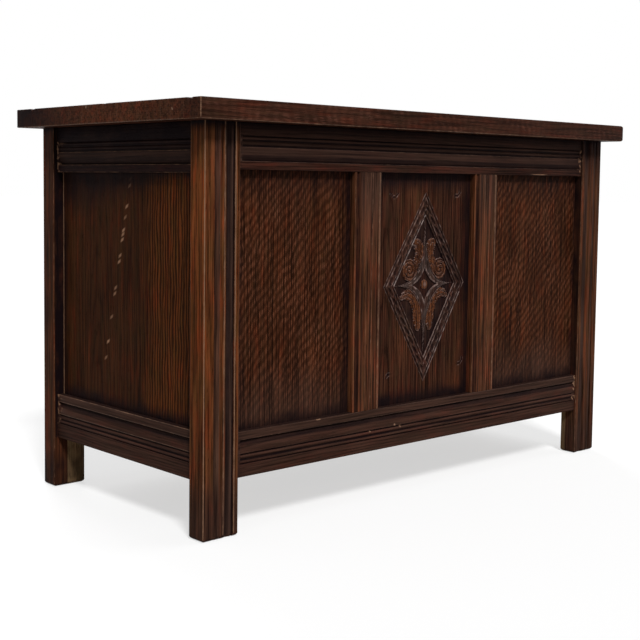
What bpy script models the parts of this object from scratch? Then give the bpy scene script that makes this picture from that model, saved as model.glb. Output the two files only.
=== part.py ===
"""Oak blanket chest: a joined frame of posts, moulded rails and muntins with panels, under a hinged lid.

Metres, +Z up. The origin is on the ground at the middle of the whole chest, and the front faces -Y.
"""

import math

import bmesh
import bpy
from mathutils import Matrix, Vector

# Whole carcase
CARCASE_WIDTH = 0.960
CARCASE_DEPTH = 0.443
POST_HEIGHT = 0.600

# Posts
FRONT_POST_WIDTH = 0.064
REAR_POST_WIDTH = 0.058
POST_DEPTH = 0.033

# Rails: heights, thickness, and how far each side's faces lie behind the posts' faces
RAIL_UNDERSIDE = 0.084
FRONT_RAIL_HEIGHT = 0.0675
END_RAIL_HEIGHT = 0.073
RAIL_THICKNESS = 0.026
FRONT_RAIL_SETBACK = 0.003
END_RAIL_SETBACK = 0.0065
END_RAIL_THICKNESS = 0.022
MOULDING_STOP = 0.006

# Muntins, and the openings between the front posts and the front muntins; the middle opening takes the rest
MUNTIN_WIDTH = 0.058
MUNTIN_THICKNESS = 0.024
LEFT_OPENING_WIDTH = 0.234
RIGHT_OPENING_WIDTH = 0.2505

# Panels, and where their faces lie behind the posts' faces
PANEL_THICKNESS = 0.008
FRONT_PANEL_RECESS = 0.015
END_PANEL_RECESS = 0.017
REAR_PANEL_RECESS = 0.013
PANEL_TONGUE = 0.006
GROOVE_DEPTH = 0.0068

# Tenons
TENON_THICKNESS = 0.0095
RAIL_TENON_LENGTH = 0.030
END_TENON_LENGTH = 0.020
TENON_SHOULDER = 0.012
STUB_TENON_LENGTH = 0.014
STUB_TENON_SHOULDER = 0.009
MORTISE_SPACE = 0.0010

# Moulding members on the rails, from the panel edge outwards
RAIL_FILLET = 0.012
RAIL_COVE = 0.0095
RAIL_OVOLO = 0.014
RAIL_REED = 0.006
RAIL_MOULDING_DEPTH = 0.0062
REED_DEPTH = 0.0020

# Moulding members on the front posts, from the panel edge outwards
POST_FILLET = 0.009
POST_INNER_REED = 0.0055
POST_HOLLOW = 0.0085
POST_HOLLOW_DEPTH = 0.0055
POST_MIDDLE_REED = 0.008
POST_OUTER_REED = 0.009

# Moulding members on the muntins, from each edge to the wide reed in the middle
MUNTIN_FILLET = 0.0055
MUNTIN_HOLLOW = 0.008
MUNTIN_HOLLOW_DEPTH = 0.0035
MUNTIN_REED = 0.009

# Carved lozenge on the middle panel
LOZENGE_HEIGHT = 0.314
LOZENGE_WIDTH = 0.194
LOZENGE_RISE = 0.342
INNER_LOZENGE_HEIGHT = 0.232
INNER_LOZENGE_WIDTH = 0.144
LOZENGE_LINE = 0.004
CARVING_DEPTH = 0.0022
GROUND_MARGIN = 0.007
STAR_WAIST = 0.030

# Lid and the fixed strip behind it
LID_THICKNESS = 0.030
LID_END_OVERHANG = 0.028
LID_FRONT_OVERHANG = 0.0275
LID_BACK_OVERHANG = 0.038
LID_FRONT_STRIP_WIDTH = 0.026
HINGE_STRIP_WIDTH = 0.052
LID_JOINT_GAP = 0.0008
LID_ARRIS = 0.0015
TONGUE_THICKNESS = 0.005
TONGUE_WIDTH = 0.016
TONGUE_END_INSET = 0.020
TONGUE_SPACE = 0.0004

# Battens under the lid, set in from its ends
BATTEN_WIDTH = 0.036
BATTEN_THICKNESS = 0.018
BATTEN_INSET = 0.238
BATTEN_END_SPACE = 0.010

# Floor
FLOOR_BOARD_COUNT = 4
FLOOR_BOARD_THICKNESS = 0.012
FLOOR_SPACE = 0.0008
BEARER_WIDTH = 0.022
BEARER_HEIGHT = 0.016
BEARER_LIFT = 0.006

# Hinges, set in from the lid's ends
HINGE_INSET = 0.168
HINGE_LENGTH = 0.064
LEAF_WIDTH = 0.021
LEAF_THICKNESS = 0.002
KNUCKLE_COUNT = 5
KNUCKLE_RADIUS = 0.0035
HINGE_PIN_RADIUS = 0.0015
KNUCKLE_SPACE = 0.0004
KNUCKLE_ARM_SHARE = 0.8

# Screws
HINGE_SCREW_HEAD_RADIUS = 0.0030
HINGE_SCREW_RADIUS = 0.0014
HINGE_SCREW_LENGTH = 0.016
SCREW_HEAD_HEIGHT_SHARE = 0.65
WOOD_SCREW_HEAD_RADIUS = 0.0040
WOOD_SCREW_RADIUS = 0.0021
BATTEN_SCREW_LENGTH = 0.036
STRIP_SCREW_LENGTH = 0.050
STRIP_SCREW_INSET = 0.348

# Clearance between pieces that touch, how far a cutter runs past what it cuts, and when two points are one
FIT = 0.0003
OVERRUN = 0.002
SAME_POINT = 0.00001

ARC_STEPS = 5
ROUND_SIDES = 16

# Places worked out from the sizes above
LID_WIDTH = CARCASE_WIDTH + LID_END_OVERHANG + LID_END_OVERHANG
LID_DEPTH = CARCASE_DEPTH + LID_FRONT_OVERHANG + LID_BACK_OVERHANG
CARCASE_FRONT = LID_FRONT_OVERHANG - LID_DEPTH / 2
CARCASE_BACK = CARCASE_FRONT + CARCASE_DEPTH
CARCASE_MIDDLE = (CARCASE_FRONT + CARCASE_BACK) / 2
HALF_WIDTH = CARCASE_WIDTH / 2
LID_TOP = POST_HEIGHT + LID_THICKNESS
LID_UNDERSIDE = POST_HEIGHT + FIT
HINGE_STRIP_FRONT = LID_DEPTH / 2 - HINGE_STRIP_WIDTH
HINGE_AXIS_Y = HINGE_STRIP_FRONT - LID_JOINT_GAP / 2
LID_BACK_EDGE = HINGE_STRIP_FRONT - LID_JOINT_GAP
GROOVE_WIDTH = PANEL_THICKNESS + FIT + FIT

OAK_DARK = (0.055, 0.022, 0.012, 1.0)
OAK_BROWN = (0.10, 0.042, 0.018, 1.0)
OAK_RED = (0.085, 0.030, 0.018, 1.0)
OAK_PLAIN = (0.30, 0.19, 0.10, 1.0)
BRASS = (0.45, 0.30, 0.10, 1.0)
STEEL = (0.20, 0.19, 0.18, 1.0)


def clear_scene():
    for item in list(bpy.data.objects):
        bpy.data.objects.remove(item, do_unlink=True)


def new_collection(name):
    collection = bpy.data.collections.new(name)
    bpy.context.scene.collection.children.link(collection)
    return collection


def finish_of(name, color, roughness, metallic=0.0):
    """A material of its own for one sub-part."""
    material = bpy.data.materials.new(name)
    material.use_nodes = True
    shader = material.node_tree.nodes["Principled BSDF"]
    shader.inputs["Base Color"].default_value = color
    shader.inputs["Roughness"].default_value = roughness
    shader.inputs["Metallic"].default_value = metallic
    material.diffuse_color = color
    return material


def object_from(bm, name, collection):
    bmesh.ops.recalc_face_normals(bm, faces=bm.faces[:])
    mesh = bpy.data.meshes.new(name)
    bm.to_mesh(mesh)
    bm.free()
    made = bpy.data.objects.new(name, mesh)
    collection.objects.link(made)
    return made


def box(name, low, high, collection):
    """A box between two corners, with its object's origin at its middle."""
    low, high = Vector(low), Vector(high)
    bm = bmesh.new()
    bmesh.ops.create_cube(bm, size=1.0)
    bmesh.ops.scale(bm, vec=high - low, verts=bm.verts[:])
    made = object_from(bm, name, collection)
    made.location = (low + high) / 2
    return made


def cylinder(name, radius, low, high, collection):
    """A round bar along X between two points."""
    low, high = Vector(low), Vector(high)
    bm = bmesh.new()
    bmesh.ops.create_cone(
        bm, cap_ends=True, segments=ROUND_SIDES, radius1=radius, radius2=radius, depth=(high - low).length
    )
    bmesh.ops.rotate(bm, cent=(0, 0, 0), matrix=Matrix.Rotation(math.pi / 2, 3, "Y"), verts=bm.verts[:])
    made = object_from(bm, name, collection)
    made.location = (low + high) / 2
    shade_round(made)
    return made


def shade_round(made):
    made.data.shade_smooth()
    made.data.set_sharp_from_angle(angle=math.radians(40))


def outline_solid(name, outline, length, placing, collection):
    """A flat outline pulled out along its own Z by length, half each way, and set at the given matrix."""
    curve = bpy.data.curves.new(name, "CURVE")
    curve.dimensions = "2D"
    curve.fill_mode = "BOTH"
    curve.extrude = length / 2
    spline = curve.splines.new("POLY")
    spline.points.add(len(outline) - 1)
    for point, (across, along) in zip(spline.points, outline):
        point.co = (across, along, 0, 1)
    spline.use_cyclic_u = True
    drawn = bpy.data.objects.new(name + "_outline", curve)
    collection.objects.link(drawn)
    drawn.matrix_world = placing
    bpy.context.view_layer.update()
    mesh = bpy.data.meshes.new_from_object(drawn.evaluated_get(bpy.context.evaluated_depsgraph_get()))
    bm = bmesh.new()
    bm.from_mesh(mesh)
    bmesh.ops.remove_doubles(bm, verts=bm.verts[:], dist=SAME_POINT)
    across_caps = [
        edge for edge in bm.edges
        if all(abs(face.verts[0].co.z - vert.co.z) < FIT for face in edge.link_faces for vert in face.verts)
    ]
    bmesh.ops.dissolve_edges(bm, edges=across_caps, use_verts=False)
    made = object_from(bm, name, collection)
    made.matrix_world = drawn.matrix_world.copy()
    bpy.data.objects.remove(drawn, do_unlink=True)
    bpy.data.curves.remove(curve)
    bpy.data.meshes.remove(mesh)
    return made


def cut(piece, cutter, operation="DIFFERENCE"):
    """A Boolean on the piece; the cutter stays hidden as wire."""
    cutter.hide_render = True
    cutter.display_type = "WIRE"
    modifier = piece.modifiers.new(cutter.name, "BOOLEAN")
    modifier.object = cutter
    modifier.operation = operation
    modifier.solver = "EXACT"


def named_finish(made, color, roughness, metallic=0.0):
    made.data.materials.clear()
    made.data.materials.append(finish_of(made.name, color, roughness, metallic))
    return made


# Moulding members: the share of a member's depth at a share of its width


def fillet_shape(share):
    return 0.0


def cove_shape(share):
    return math.sin(math.pi / 2 * share)


def ovolo_shape(share):
    return 1.0 - math.sin(math.pi / 2 * share)


def reed_shape(share):
    return 1.0 - math.sin(math.pi * share)


def hollow_shape(share):
    return math.sin(math.pi * share)


def moulding_line(members):
    """Points (across, depth) along a moulding, from its first member's edge."""
    points = []
    across = 0.0
    for shape, width, depth in members:
        steps = 1 if shape is fillet_shape else ARC_STEPS
        for step in range(steps + 1):
            share = step / steps
            point = (across + width * share, depth * shape(share))
            if not points or (Vector(point) - Vector(points[-1])).length > SAME_POINT:
                points.append(point)
        across += width
    return points


def rail_moulding():
    return moulding_line((
        (cove_shape, RAIL_COVE, RAIL_MOULDING_DEPTH),
        (ovolo_shape, RAIL_OVOLO, RAIL_MOULDING_DEPTH),
        (reed_shape, RAIL_REED, REED_DEPTH),
        (reed_shape, RAIL_REED, REED_DEPTH),
    ))


def post_moulding():
    return moulding_line((
        (reed_shape, POST_INNER_REED, REED_DEPTH),
        (hollow_shape, POST_HOLLOW, POST_HOLLOW_DEPTH),
        (reed_shape, POST_MIDDLE_REED, REED_DEPTH),
        (reed_shape, POST_OUTER_REED, REED_DEPTH),
    ))


def muntin_moulding():
    middle = MUNTIN_WIDTH - (MUNTIN_FILLET + MUNTIN_HOLLOW + MUNTIN_REED) * 2
    return moulding_line((
        (hollow_shape, MUNTIN_HOLLOW, MUNTIN_HOLLOW_DEPTH),
        (reed_shape, MUNTIN_REED, REED_DEPTH),
        (reed_shape, middle, REED_DEPTH),
        (reed_shape, MUNTIN_REED, REED_DEPTH),
        (hollow_shape, MUNTIN_HOLLOW, MUNTIN_HOLLOW_DEPTH),
    ))


class Side:
    """One side of the frame. Across runs left to right as seen from outside, depth runs inwards."""

    def __init__(self, name, turns, half_span, left_post, right_post, setback, thickness, recess, height, tenon):
        self.name = name
        self.angle = turns * math.pi / 2
        self.left = left_post - half_span
        self.right = half_span - right_post
        self.setback = setback
        self.thickness = thickness
        self.recess = recess
        self.rail_height = height
        self.tenon = tenon
        outward = Matrix.Rotation(self.angle, 4, "Z")
        middle = Vector((0, CARCASE_MIDDLE, 0))
        reach = CARCASE_DEPTH / 2 if turns % 2 == 0 else HALF_WIDTH
        self.placing = Matrix.Translation(middle) @ outward @ Matrix.Translation((0, -reach, 0))

    @property
    def opening_low(self):
        return RAIL_UNDERSIDE + self.rail_height

    @property
    def opening_high(self):
        return POST_HEIGHT - self.rail_height

    @property
    def groove_middle(self):
        return self.recess + PANEL_THICKNESS / 2

    def box(self, name, low, high, collection):
        """A box between two corners given as across, depth and height on this side."""
        made = box(name, low, high, collection)
        made.matrix_world = self.placing @ Matrix.Translation(made.location)
        return made

    def along_across(self, middle):
        """Places an outline of depth and height, pulled out across the side."""
        turned = Matrix(((0, 0, 1, 0), (1, 0, 0, 0), (0, 1, 0, 0), (0, 0, 0, 1)))
        return self.placing @ Matrix.Translation((middle, 0, 0)) @ turned

    def upright(self, middle, height):
        """Places an outline of across and depth, pulled out upwards."""
        return self.placing @ Matrix.Translation((middle, 0, height))


def front_side():
    return Side("front", 0, HALF_WIDTH, FRONT_POST_WIDTH, FRONT_POST_WIDTH, FRONT_RAIL_SETBACK,
                RAIL_THICKNESS, FRONT_PANEL_RECESS, FRONT_RAIL_HEIGHT, RAIL_TENON_LENGTH)


def right_side():
    return Side("right", 1, CARCASE_DEPTH / 2, POST_DEPTH, POST_DEPTH, END_RAIL_SETBACK,
                END_RAIL_THICKNESS, END_PANEL_RECESS, END_RAIL_HEIGHT, END_TENON_LENGTH)


def rear_side():
    return Side("rear", 2, HALF_WIDTH, REAR_POST_WIDTH, REAR_POST_WIDTH, 0,
                POST_DEPTH, REAR_PANEL_RECESS, FRONT_RAIL_HEIGHT, RAIL_TENON_LENGTH)


def left_side():
    return Side("left", 3, CARCASE_DEPTH / 2, POST_DEPTH, POST_DEPTH, END_RAIL_SETBACK,
                END_RAIL_THICKNESS, END_PANEL_RECESS, END_RAIL_HEIGHT, END_TENON_LENGTH)


def rail_outline(side, low, high, panel_above):
    """A rail's section as depth and height, with the panel groove in the edge that meets the panel."""
    outer = side.setback
    inner = side.setback + side.thickness
    groove_outer = side.groove_middle - GROOVE_WIDTH / 2
    groove_inner = side.groove_middle + GROOVE_WIDTH / 2
    edge, floor, far = (high, high - GROOVE_DEPTH, low) if panel_above else (low, low + GROOVE_DEPTH, high)
    return [
        (outer, far), (outer, edge), (groove_outer, edge), (groove_outer, floor),
        (groove_inner, floor), (groove_inner, edge), (inner, edge), (inner, far),
    ]


def moulding_cutter(side, name, low, high, panel_above, cutters):
    """What the scratch stock takes off a rail's face, stopped short of the posts."""
    edge, way = (high, -1) if panel_above else (low, 1)
    line = [(side.setback + depth, edge + way * (RAIL_FILLET + across)) for across, depth in rail_moulding()]
    front = side.setback - OVERRUN
    outline = [(front, line[0][1])] + line + [(front, line[-1][1])]
    length = side.right - side.left - (MOULDING_STOP + FIT) * 2
    middle = (side.left + side.right) / 2
    return outline_solid(name, outline, length, side.along_across(middle), cutters)


def rail(side, level, collection, cutters, muntins=(), moulded=True):
    """A top or bottom rail with a tenon at each end, and a mortise for each muntin."""
    panel_above = level == "bottom"
    low, high = (RAIL_UNDERSIDE, side.opening_low) if panel_above else (side.opening_high, POST_HEIGHT)
    name = f"{side.name}_{level}_rail"
    middle = (side.left + side.right) / 2
    length = side.right - side.left - FIT * 2
    made = outline_solid(name, rail_outline(side, low, high, panel_above), length,
                         side.along_across(middle), collection)
    if moulded:
        cut(made, moulding_cutter(side, name + "_moulding", low, high, panel_above, cutters))
    for end, way in ((side.left, -1), (side.right, 1)):
        tip = end + way * side.tenon
        root = end - way * (FIT + OVERRUN)
        tenon = side.box(
            f"{name}_tenon_{'left' if way < 0 else 'right'}",
            (min(root, tip), side.groove_middle - TENON_THICKNESS / 2, low + TENON_SHOULDER),
            (max(root, tip), side.groove_middle + TENON_THICKNESS / 2, high - TENON_SHOULDER),
            cutters,
        )
        cut(made, tenon, "UNION")
    for number, place in enumerate(muntins):
        edge, way = (high, -1) if panel_above else (low, 1)
        foot = edge + way * (STUB_TENON_LENGTH + MORTISE_SPACE)
        mouth = edge - way * OVERRUN
        reach = MUNTIN_WIDTH / 2 - STUB_TENON_SHOULDER + FIT
        mortise = side.box(
            f"{name}_mortise_{number}",
            (place - reach, side.groove_middle - TENON_THICKNESS / 2 - FIT, min(foot, mouth)),
            (place + reach, side.groove_middle + TENON_THICKNESS / 2 + FIT, max(foot, mouth)),
            cutters,
        )
        cut(made, mortise)
    return named_finish(made, OAK_DARK if moulded else OAK_BROWN, 0.45)


def rail_mortises(post, side, at_left, cutters):
    """Mortises for a side's two rails, and the panel groove between them, in one of that side's posts."""
    edge, way = (side.left, -1) if at_left else (side.right, 1)
    mouth = edge - way * OVERRUN
    for level, low, high in (
        ("bottom", RAIL_UNDERSIDE, side.opening_low),
        ("top", side.opening_high, POST_HEIGHT),
    ):
        foot = edge + way * (side.tenon + MORTISE_SPACE)
        mortise = side.box(
            f"{post.name}_{side.name}_{level}_mortise",
            (min(mouth, foot), side.groove_middle - TENON_THICKNESS / 2 - FIT, low + TENON_SHOULDER - FIT),
            (max(mouth, foot), side.groove_middle + TENON_THICKNESS / 2 + FIT, high - TENON_SHOULDER + FIT),
            cutters,
        )
        cut(post, mortise)
    foot = edge + way * GROOVE_DEPTH
    groove = side.box(
        f"{post.name}_{side.name}_groove",
        (min(mouth, foot), side.groove_middle - GROOVE_WIDTH / 2, side.opening_low - GROOVE_DEPTH),
        (max(mouth, foot), side.groove_middle + GROOVE_WIDTH / 2, side.opening_high + GROOVE_DEPTH),
        cutters,
    )
    cut(post, groove)


def front_post_outline(way):
    """A front post's section, moulded on its front face; way is -1 for the left post and 1 for the right."""
    inner = HALF_WIDTH - FRONT_POST_WIDTH
    line = [(inner + POST_FILLET + across, CARCASE_FRONT + depth) for across, depth in post_moulding()]
    outline = [(inner, CARCASE_FRONT), (inner + POST_FILLET, CARCASE_FRONT)] + line
    outline += [
        (line[-1][0], CARCASE_FRONT),
        (HALF_WIDTH, CARCASE_FRONT),
        (HALF_WIDTH, CARCASE_FRONT + POST_DEPTH),
        (inner, CARCASE_FRONT + POST_DEPTH),
    ]
    return [(way * across, depth) for across, depth in outline]


def make_posts(sides, collection, cutters):
    front, right, rear, left = sides
    upright = Matrix.Translation((0, 0, POST_HEIGHT / 2))
    for name, way, end_side, end_at_left in (("left", -1, left, False), ("right", 1, right, True)):
        post = outline_solid(f"front_{name}_post", front_post_outline(way), POST_HEIGHT, upright, collection)
        rail_mortises(post, front, way < 0, cutters)
        rail_mortises(post, end_side, end_at_left, cutters)
        named_finish(post, OAK_BROWN, 0.42)
    for name, way, end_side, end_at_left in (("left", -1, left, True), ("right", 1, right, False)):
        inner, outer = way * (HALF_WIDTH - REAR_POST_WIDTH), way * HALF_WIDTH
        post = box(
            f"rear_{name}_post",
            (min(inner, outer), CARCASE_BACK - POST_DEPTH, 0),
            (max(inner, outer), CARCASE_BACK, POST_HEIGHT),
            collection,
        )
        rail_mortises(post, rear, way > 0, cutters)
        rail_mortises(post, end_side, end_at_left, cutters)
        named_finish(post, OAK_DARK, 0.45)


def muntin(name, side, middle, collection, cutters, moulded=True):
    """An upright between two rails, grooved on both edges, with a stub tenon at each end."""
    half = MUNTIN_WIDTH / 2
    outer, inner = side.setback, side.setback + MUNTIN_THICKNESS
    groove_outer = side.groove_middle - GROOVE_WIDTH / 2
    groove_inner = side.groove_middle + GROOVE_WIDTH / 2
    right_edge = [
        (half, outer), (half, groove_outer), (half - GROOVE_DEPTH, groove_outer),
        (half - GROOVE_DEPTH, groove_inner), (half, groove_inner), (half, inner),
    ]
    left_edge = [(-across, depth) for across, depth in reversed(right_edge)]
    face = []
    if moulded:
        start = MUNTIN_FILLET - half
        line = [(start + across, outer + depth) for across, depth in muntin_moulding()]
        face = [(start, outer)] + line[1:-1] + [(-start, outer)]
    height = side.opening_high - side.opening_low - FIT * 2
    level = (side.opening_high + side.opening_low) / 2
    made = outline_solid(name, left_edge + face + right_edge, height, side.upright(middle, level), collection)
    reach = half - STUB_TENON_SHOULDER
    for end, edge, way in (("foot", side.opening_low, -1), ("head", side.opening_high, 1)):
        tip = edge + way * STUB_TENON_LENGTH
        root = edge - way * (FIT + OVERRUN)
        tenon = side.box(
            f"{name}_{end}_tenon",
            (middle - reach, side.groove_middle - TENON_THICKNESS / 2, min(root, tip)),
            (middle + reach, side.groove_middle + TENON_THICKNESS / 2, max(root, tip)),
            cutters,
        )
        cut(made, tenon, "UNION")
    return named_finish(made, OAK_BROWN, 0.45)


def panel(name, side, left, right, collection):
    """A panel whose edges stand in the grooves around its opening."""
    made = side.box(
        name,
        (left - PANEL_TONGUE, side.recess, side.opening_low - PANEL_TONGUE),
        (right + PANEL_TONGUE, side.recess + PANEL_THICKNESS, side.opening_high + PANEL_TONGUE),
        collection,
    )
    return named_finish(made, OAK_BROWN, 0.5)


def lozenge(width, height):
    return [(width / 2, 0), (0, height / 2), (-width / 2, 0), (0, -height / 2)]


def star(width, height, waist):
    """A four-pointed star with hollow sides, one quarter's curve repeated around."""
    points = []
    for turn in range(4):
        start, end = turn * math.pi / 2, (turn + 1) * math.pi / 2
        for step in range(ARC_STEPS * 2):
            share = step / (ARC_STEPS * 2)
            angle = start + (end - start) * share
            sharpness = abs(math.cos(2 * angle)) ** 3
            reach_x = waist + (width / 2 - waist) * sharpness
            reach_z = waist + (height / 2 - waist) * sharpness
            points.append((reach_x * math.cos(angle), reach_z * math.sin(angle)))
    return points


def carve_lozenge(made, side, middle, cutters):
    """An incised lozenge, and a sunk ground inside it that leaves a four-pointed star and its boss."""
    face = side.recess
    depth = CARVING_DEPTH + OVERRUN
    turned = Matrix(((1, 0, 0, 0), (0, 0, -1, 0), (0, 1, 0, 0), (0, 0, 0, 1)))
    placing = side.placing @ Matrix.Translation((middle, face + CARVING_DEPTH - depth / 2, LOZENGE_RISE)) @ turned
    spread = LOZENGE_LINE * math.hypot(LOZENGE_WIDTH, LOZENGE_HEIGHT)
    for name, width, height in (
        ("outer", LOZENGE_WIDTH, LOZENGE_HEIGHT),
        ("inner", INNER_LOZENGE_WIDTH, INNER_LOZENGE_HEIGHT),
    ):
        line = outline_solid(f"{made.name}_{name}_line", lozenge(width, height), depth, placing, cutters)
        core = outline_solid(
            f"{made.name}_{name}_core",
            lozenge(width - spread / LOZENGE_HEIGHT, height - spread / LOZENGE_WIDTH),
            depth + OVERRUN, placing, cutters,
        )
        cut(line, core)
        cut(made, line)
    ground_width = INNER_LOZENGE_WIDTH - GROUND_MARGIN * 3
    ground_height = INNER_LOZENGE_HEIGHT - GROUND_MARGIN * 4
    ground = outline_solid(
        f"{made.name}_ground", lozenge(ground_width, ground_height), depth, placing, cutters
    )
    raised = outline_solid(
        f"{made.name}_star", star(ground_width + OVERRUN, ground_height + OVERRUN, STAR_WAIST),
        depth + OVERRUN, placing, cutters,
    )
    cut(ground, raised)
    cut(made, ground)


def make_front(side, collection, cutters):
    half = MUNTIN_WIDTH / 2
    muntins = (side.left + LEFT_OPENING_WIDTH + half, side.right - RIGHT_OPENING_WIDTH - half)
    for level in ("top", "bottom"):
        rail(side, level, collection, cutters, muntins)
    muntin("front_left_muntin", side, muntins[0], collection, cutters)
    muntin("front_right_muntin", side, muntins[1], collection, cutters)
    panel("front_left_panel", side, side.left, muntins[0] - half, collection)
    carved = panel("front_carved_panel", side, muntins[0] + half, muntins[1] - half, collection)
    carve_lozenge(carved, side, (muntins[0] + muntins[1]) / 2, cutters)
    panel("front_right_panel", side, muntins[1] + half, side.right, collection)


def make_rear(side, collection, cutters):
    for level in ("top", "bottom"):
        rail(side, level, collection, cutters, (0,), moulded=False)
    muntin("rear_muntin", side, 0, collection, cutters, moulded=False)
    half = MUNTIN_WIDTH / 2
    panel("rear_left_panel", side, half, side.right, collection)
    panel("rear_right_panel", side, side.left, -half, collection)


def make_end(side, collection, cutters):
    for level in ("top", "bottom"):
        rail(side, level, collection, cutters)
    panel(f"{side.name}_end_panel", side, side.left, side.right, collection)


def make_floor(front, rear, left, collection):
    """Bearers along the bottom rails, and boards laid across them from front to back."""
    inner_front = CARCASE_FRONT + front.setback + front.thickness
    inner_back = CARCASE_BACK - rear.setback - rear.thickness
    bearer_low = RAIL_UNDERSIDE + BEARER_LIFT
    bearer_high = bearer_low + BEARER_HEIGHT
    reach = min(HALF_WIDTH - FRONT_POST_WIDTH, HALF_WIDTH - REAR_POST_WIDTH) - FIT
    for name, low, high in (
        ("front_floor_bearer", inner_front + FIT, inner_front + FIT + BEARER_WIDTH),
        ("rear_floor_bearer", inner_back - FIT - BEARER_WIDTH, inner_back - FIT),
    ):
        named_finish(box(name, (-reach, low, bearer_low), (reach, high, bearer_high), collection), OAK_PLAIN, 0.7)
    end = HALF_WIDTH - left.setback - left.thickness - FLOOR_SPACE
    board = end * 2 / FLOOR_BOARD_COUNT
    post_front = CARCASE_FRONT + POST_DEPTH + FLOOR_SPACE
    post_back = CARCASE_BACK - POST_DEPTH - FLOOR_SPACE
    low, high = bearer_high + FIT, bearer_high + FIT + FLOOR_BOARD_THICKNESS
    for number in range(FLOOR_BOARD_COUNT):
        start = -end + board * number
        made = box(
            f"floor_board_{number + 1}",
            (start + FLOOR_SPACE / 2, post_front, low),
            (start + board - FLOOR_SPACE / 2, post_back, high),
            collection,
        )
        named_finish(made, OAK_PLAIN, 0.7)


def lid_board_outline(front, back):
    """A lid board's section as depth and height, with eased upper arrises."""
    return [
        (front, LID_UNDERSIDE), (front, LID_TOP - LID_ARRIS), (front + LID_ARRIS, LID_TOP),
        (back - LID_ARRIS, LID_TOP), (back, LID_TOP - LID_ARRIS), (back, LID_UNDERSIDE),
    ]


def along_x():
    return Matrix(((0, 0, 1, 0), (1, 0, 0, 0), (0, 1, 0, 0), (0, 0, 0, 1)))


def make_lid_boards(collection, cutters):
    """The lid's front strip and two wide boards with loose tongues between, and the strip behind the lid."""
    lid_front = -LID_DEPTH / 2
    strip_back = lid_front + LID_FRONT_STRIP_WIDTH
    middle = (strip_back + LID_BACK_EDGE) / 2
    boards = {}
    for name, front, back in (
        ("lid_front_strip", lid_front, strip_back - FIT / 2),
        ("lid_front_board", strip_back + FIT / 2, middle - FIT / 2),
        ("lid_back_board", middle + FIT / 2, LID_BACK_EDGE),
        ("hinge_strip", HINGE_STRIP_FRONT, LID_DEPTH / 2),
    ):
        boards[name] = outline_solid(name, lid_board_outline(front, back), LID_WIDTH, along_x(), collection)
        named_finish(boards[name], OAK_RED, 0.4)
    level = (LID_UNDERSIDE + LID_TOP) / 2
    reach = LID_WIDTH / 2 - TONGUE_END_INSET
    half_width, half_thickness = TONGUE_WIDTH / 2, TONGUE_THICKNESS / 2
    for name, joint, before, behind in (
        ("lid_front_tongue", strip_back, "lid_front_strip", "lid_front_board"),
        ("lid_middle_tongue", middle, "lid_front_board", "lid_back_board"),
    ):
        tongue = box(
            name,
            (-reach, joint - half_width, level - half_thickness),
            (reach, joint + half_width, level + half_thickness),
            collection,
        )
        named_finish(tongue, OAK_PLAIN, 0.7)
        groove = box(
            name + "_groove",
            (-reach - TONGUE_SPACE, joint - half_width - TONGUE_SPACE, level - half_thickness - FIT),
            (reach + TONGUE_SPACE, joint + half_width + TONGUE_SPACE, level + half_thickness + FIT),
            cutters,
        )
        cut(boards[before], groove)
        cut(boards[behind], groove)
    return boards


def screw(name, head_radius, radius, length, head, way, collection, rise=0):
    """A countersunk screw whose head's face is at the given point and whose shank runs along way on Z.

    A hole for it has a rise: its cone goes on past that point, out of the piece's face.
    """
    bm = bmesh.new()
    head_height = head_radius * SCREW_HEAD_HEIGHT_SHARE
    mouth_radius = head_radius + (head_radius - radius) * rise / head_height
    bmesh.ops.create_cone(
        bm, cap_ends=True, segments=ROUND_SIDES, radius1=radius, radius2=mouth_radius, depth=head_height + rise
    )
    bmesh.ops.translate(bm, vec=(0, 0, (rise - head_height) / 2), verts=bm.verts[:])
    lower = [face for face in bm.faces if face.normal.z < 0 and len(face.verts) == ROUND_SIDES]
    shank = bmesh.ops.extrude_face_region(bm, geom=lower)
    verts = [item for item in shank["geom"] if isinstance(item, bmesh.types.BMVert)]
    bmesh.ops.translate(bm, vec=(0, 0, head_height - length), verts=verts)
    bmesh.ops.delete(bm, geom=lower, context="FACES")
    if way > 0:
        bmesh.ops.rotate(bm, cent=(0, 0, 0), matrix=Matrix.Rotation(math.pi, 3, "X"), verts=bm.verts[:])
    made = object_from(bm, name, collection)
    made.location = head
    shade_round(made)
    return made


def screw_and_hole(name, pieces, head_radius, radius, length, head, way, collection, cutters):
    """A screw, and the countersunk hole for it in each piece that it goes through."""
    made = screw(name, head_radius, radius, length, head, way, collection)
    named_finish(made, STEEL, 0.4, 1.0)
    hole = screw(
        name + "_hole", head_radius + FIT * 2, radius + FIT, length + FIT * 3, head, way, cutters, FIT * 4
    )
    for piece in pieces:
        cut(piece, hole)


def make_battens(boards, collection, cutters):
    front_inner = CARCASE_FRONT + POST_DEPTH + BATTEN_END_SPACE
    back_inner = CARCASE_BACK - POST_DEPTH - BATTEN_END_SPACE
    top = LID_UNDERSIDE - FIT
    low = top - BATTEN_THICKNESS
    joint = (LID_BACK_EDGE - LID_DEPTH / 2 + LID_FRONT_STRIP_WIDTH) / 2
    for side, way in (("left", -1), ("right", 1)):
        middle = way * (LID_WIDTH / 2 - BATTEN_INSET)
        batten = box(
            f"lid_batten_{side}",
            (middle - BATTEN_WIDTH / 2, front_inner, low),
            (middle + BATTEN_WIDTH / 2, back_inner, top),
            collection,
        )
        for place, depth, board in (
            ("front", (front_inner + joint) / 2, boards["lid_front_board"]),
            ("back", (back_inner + joint) / 2, boards["lid_back_board"]),
        ):
            screw_and_hole(
                f"batten_screw_{side}_{place}", (batten, board), WOOD_SCREW_HEAD_RADIUS, WOOD_SCREW_RADIUS,
                BATTEN_SCREW_LENGTH, (middle, depth, low + FIT), 1, collection, cutters,
            )
        named_finish(batten, OAK_BROWN, 0.6)


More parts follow.
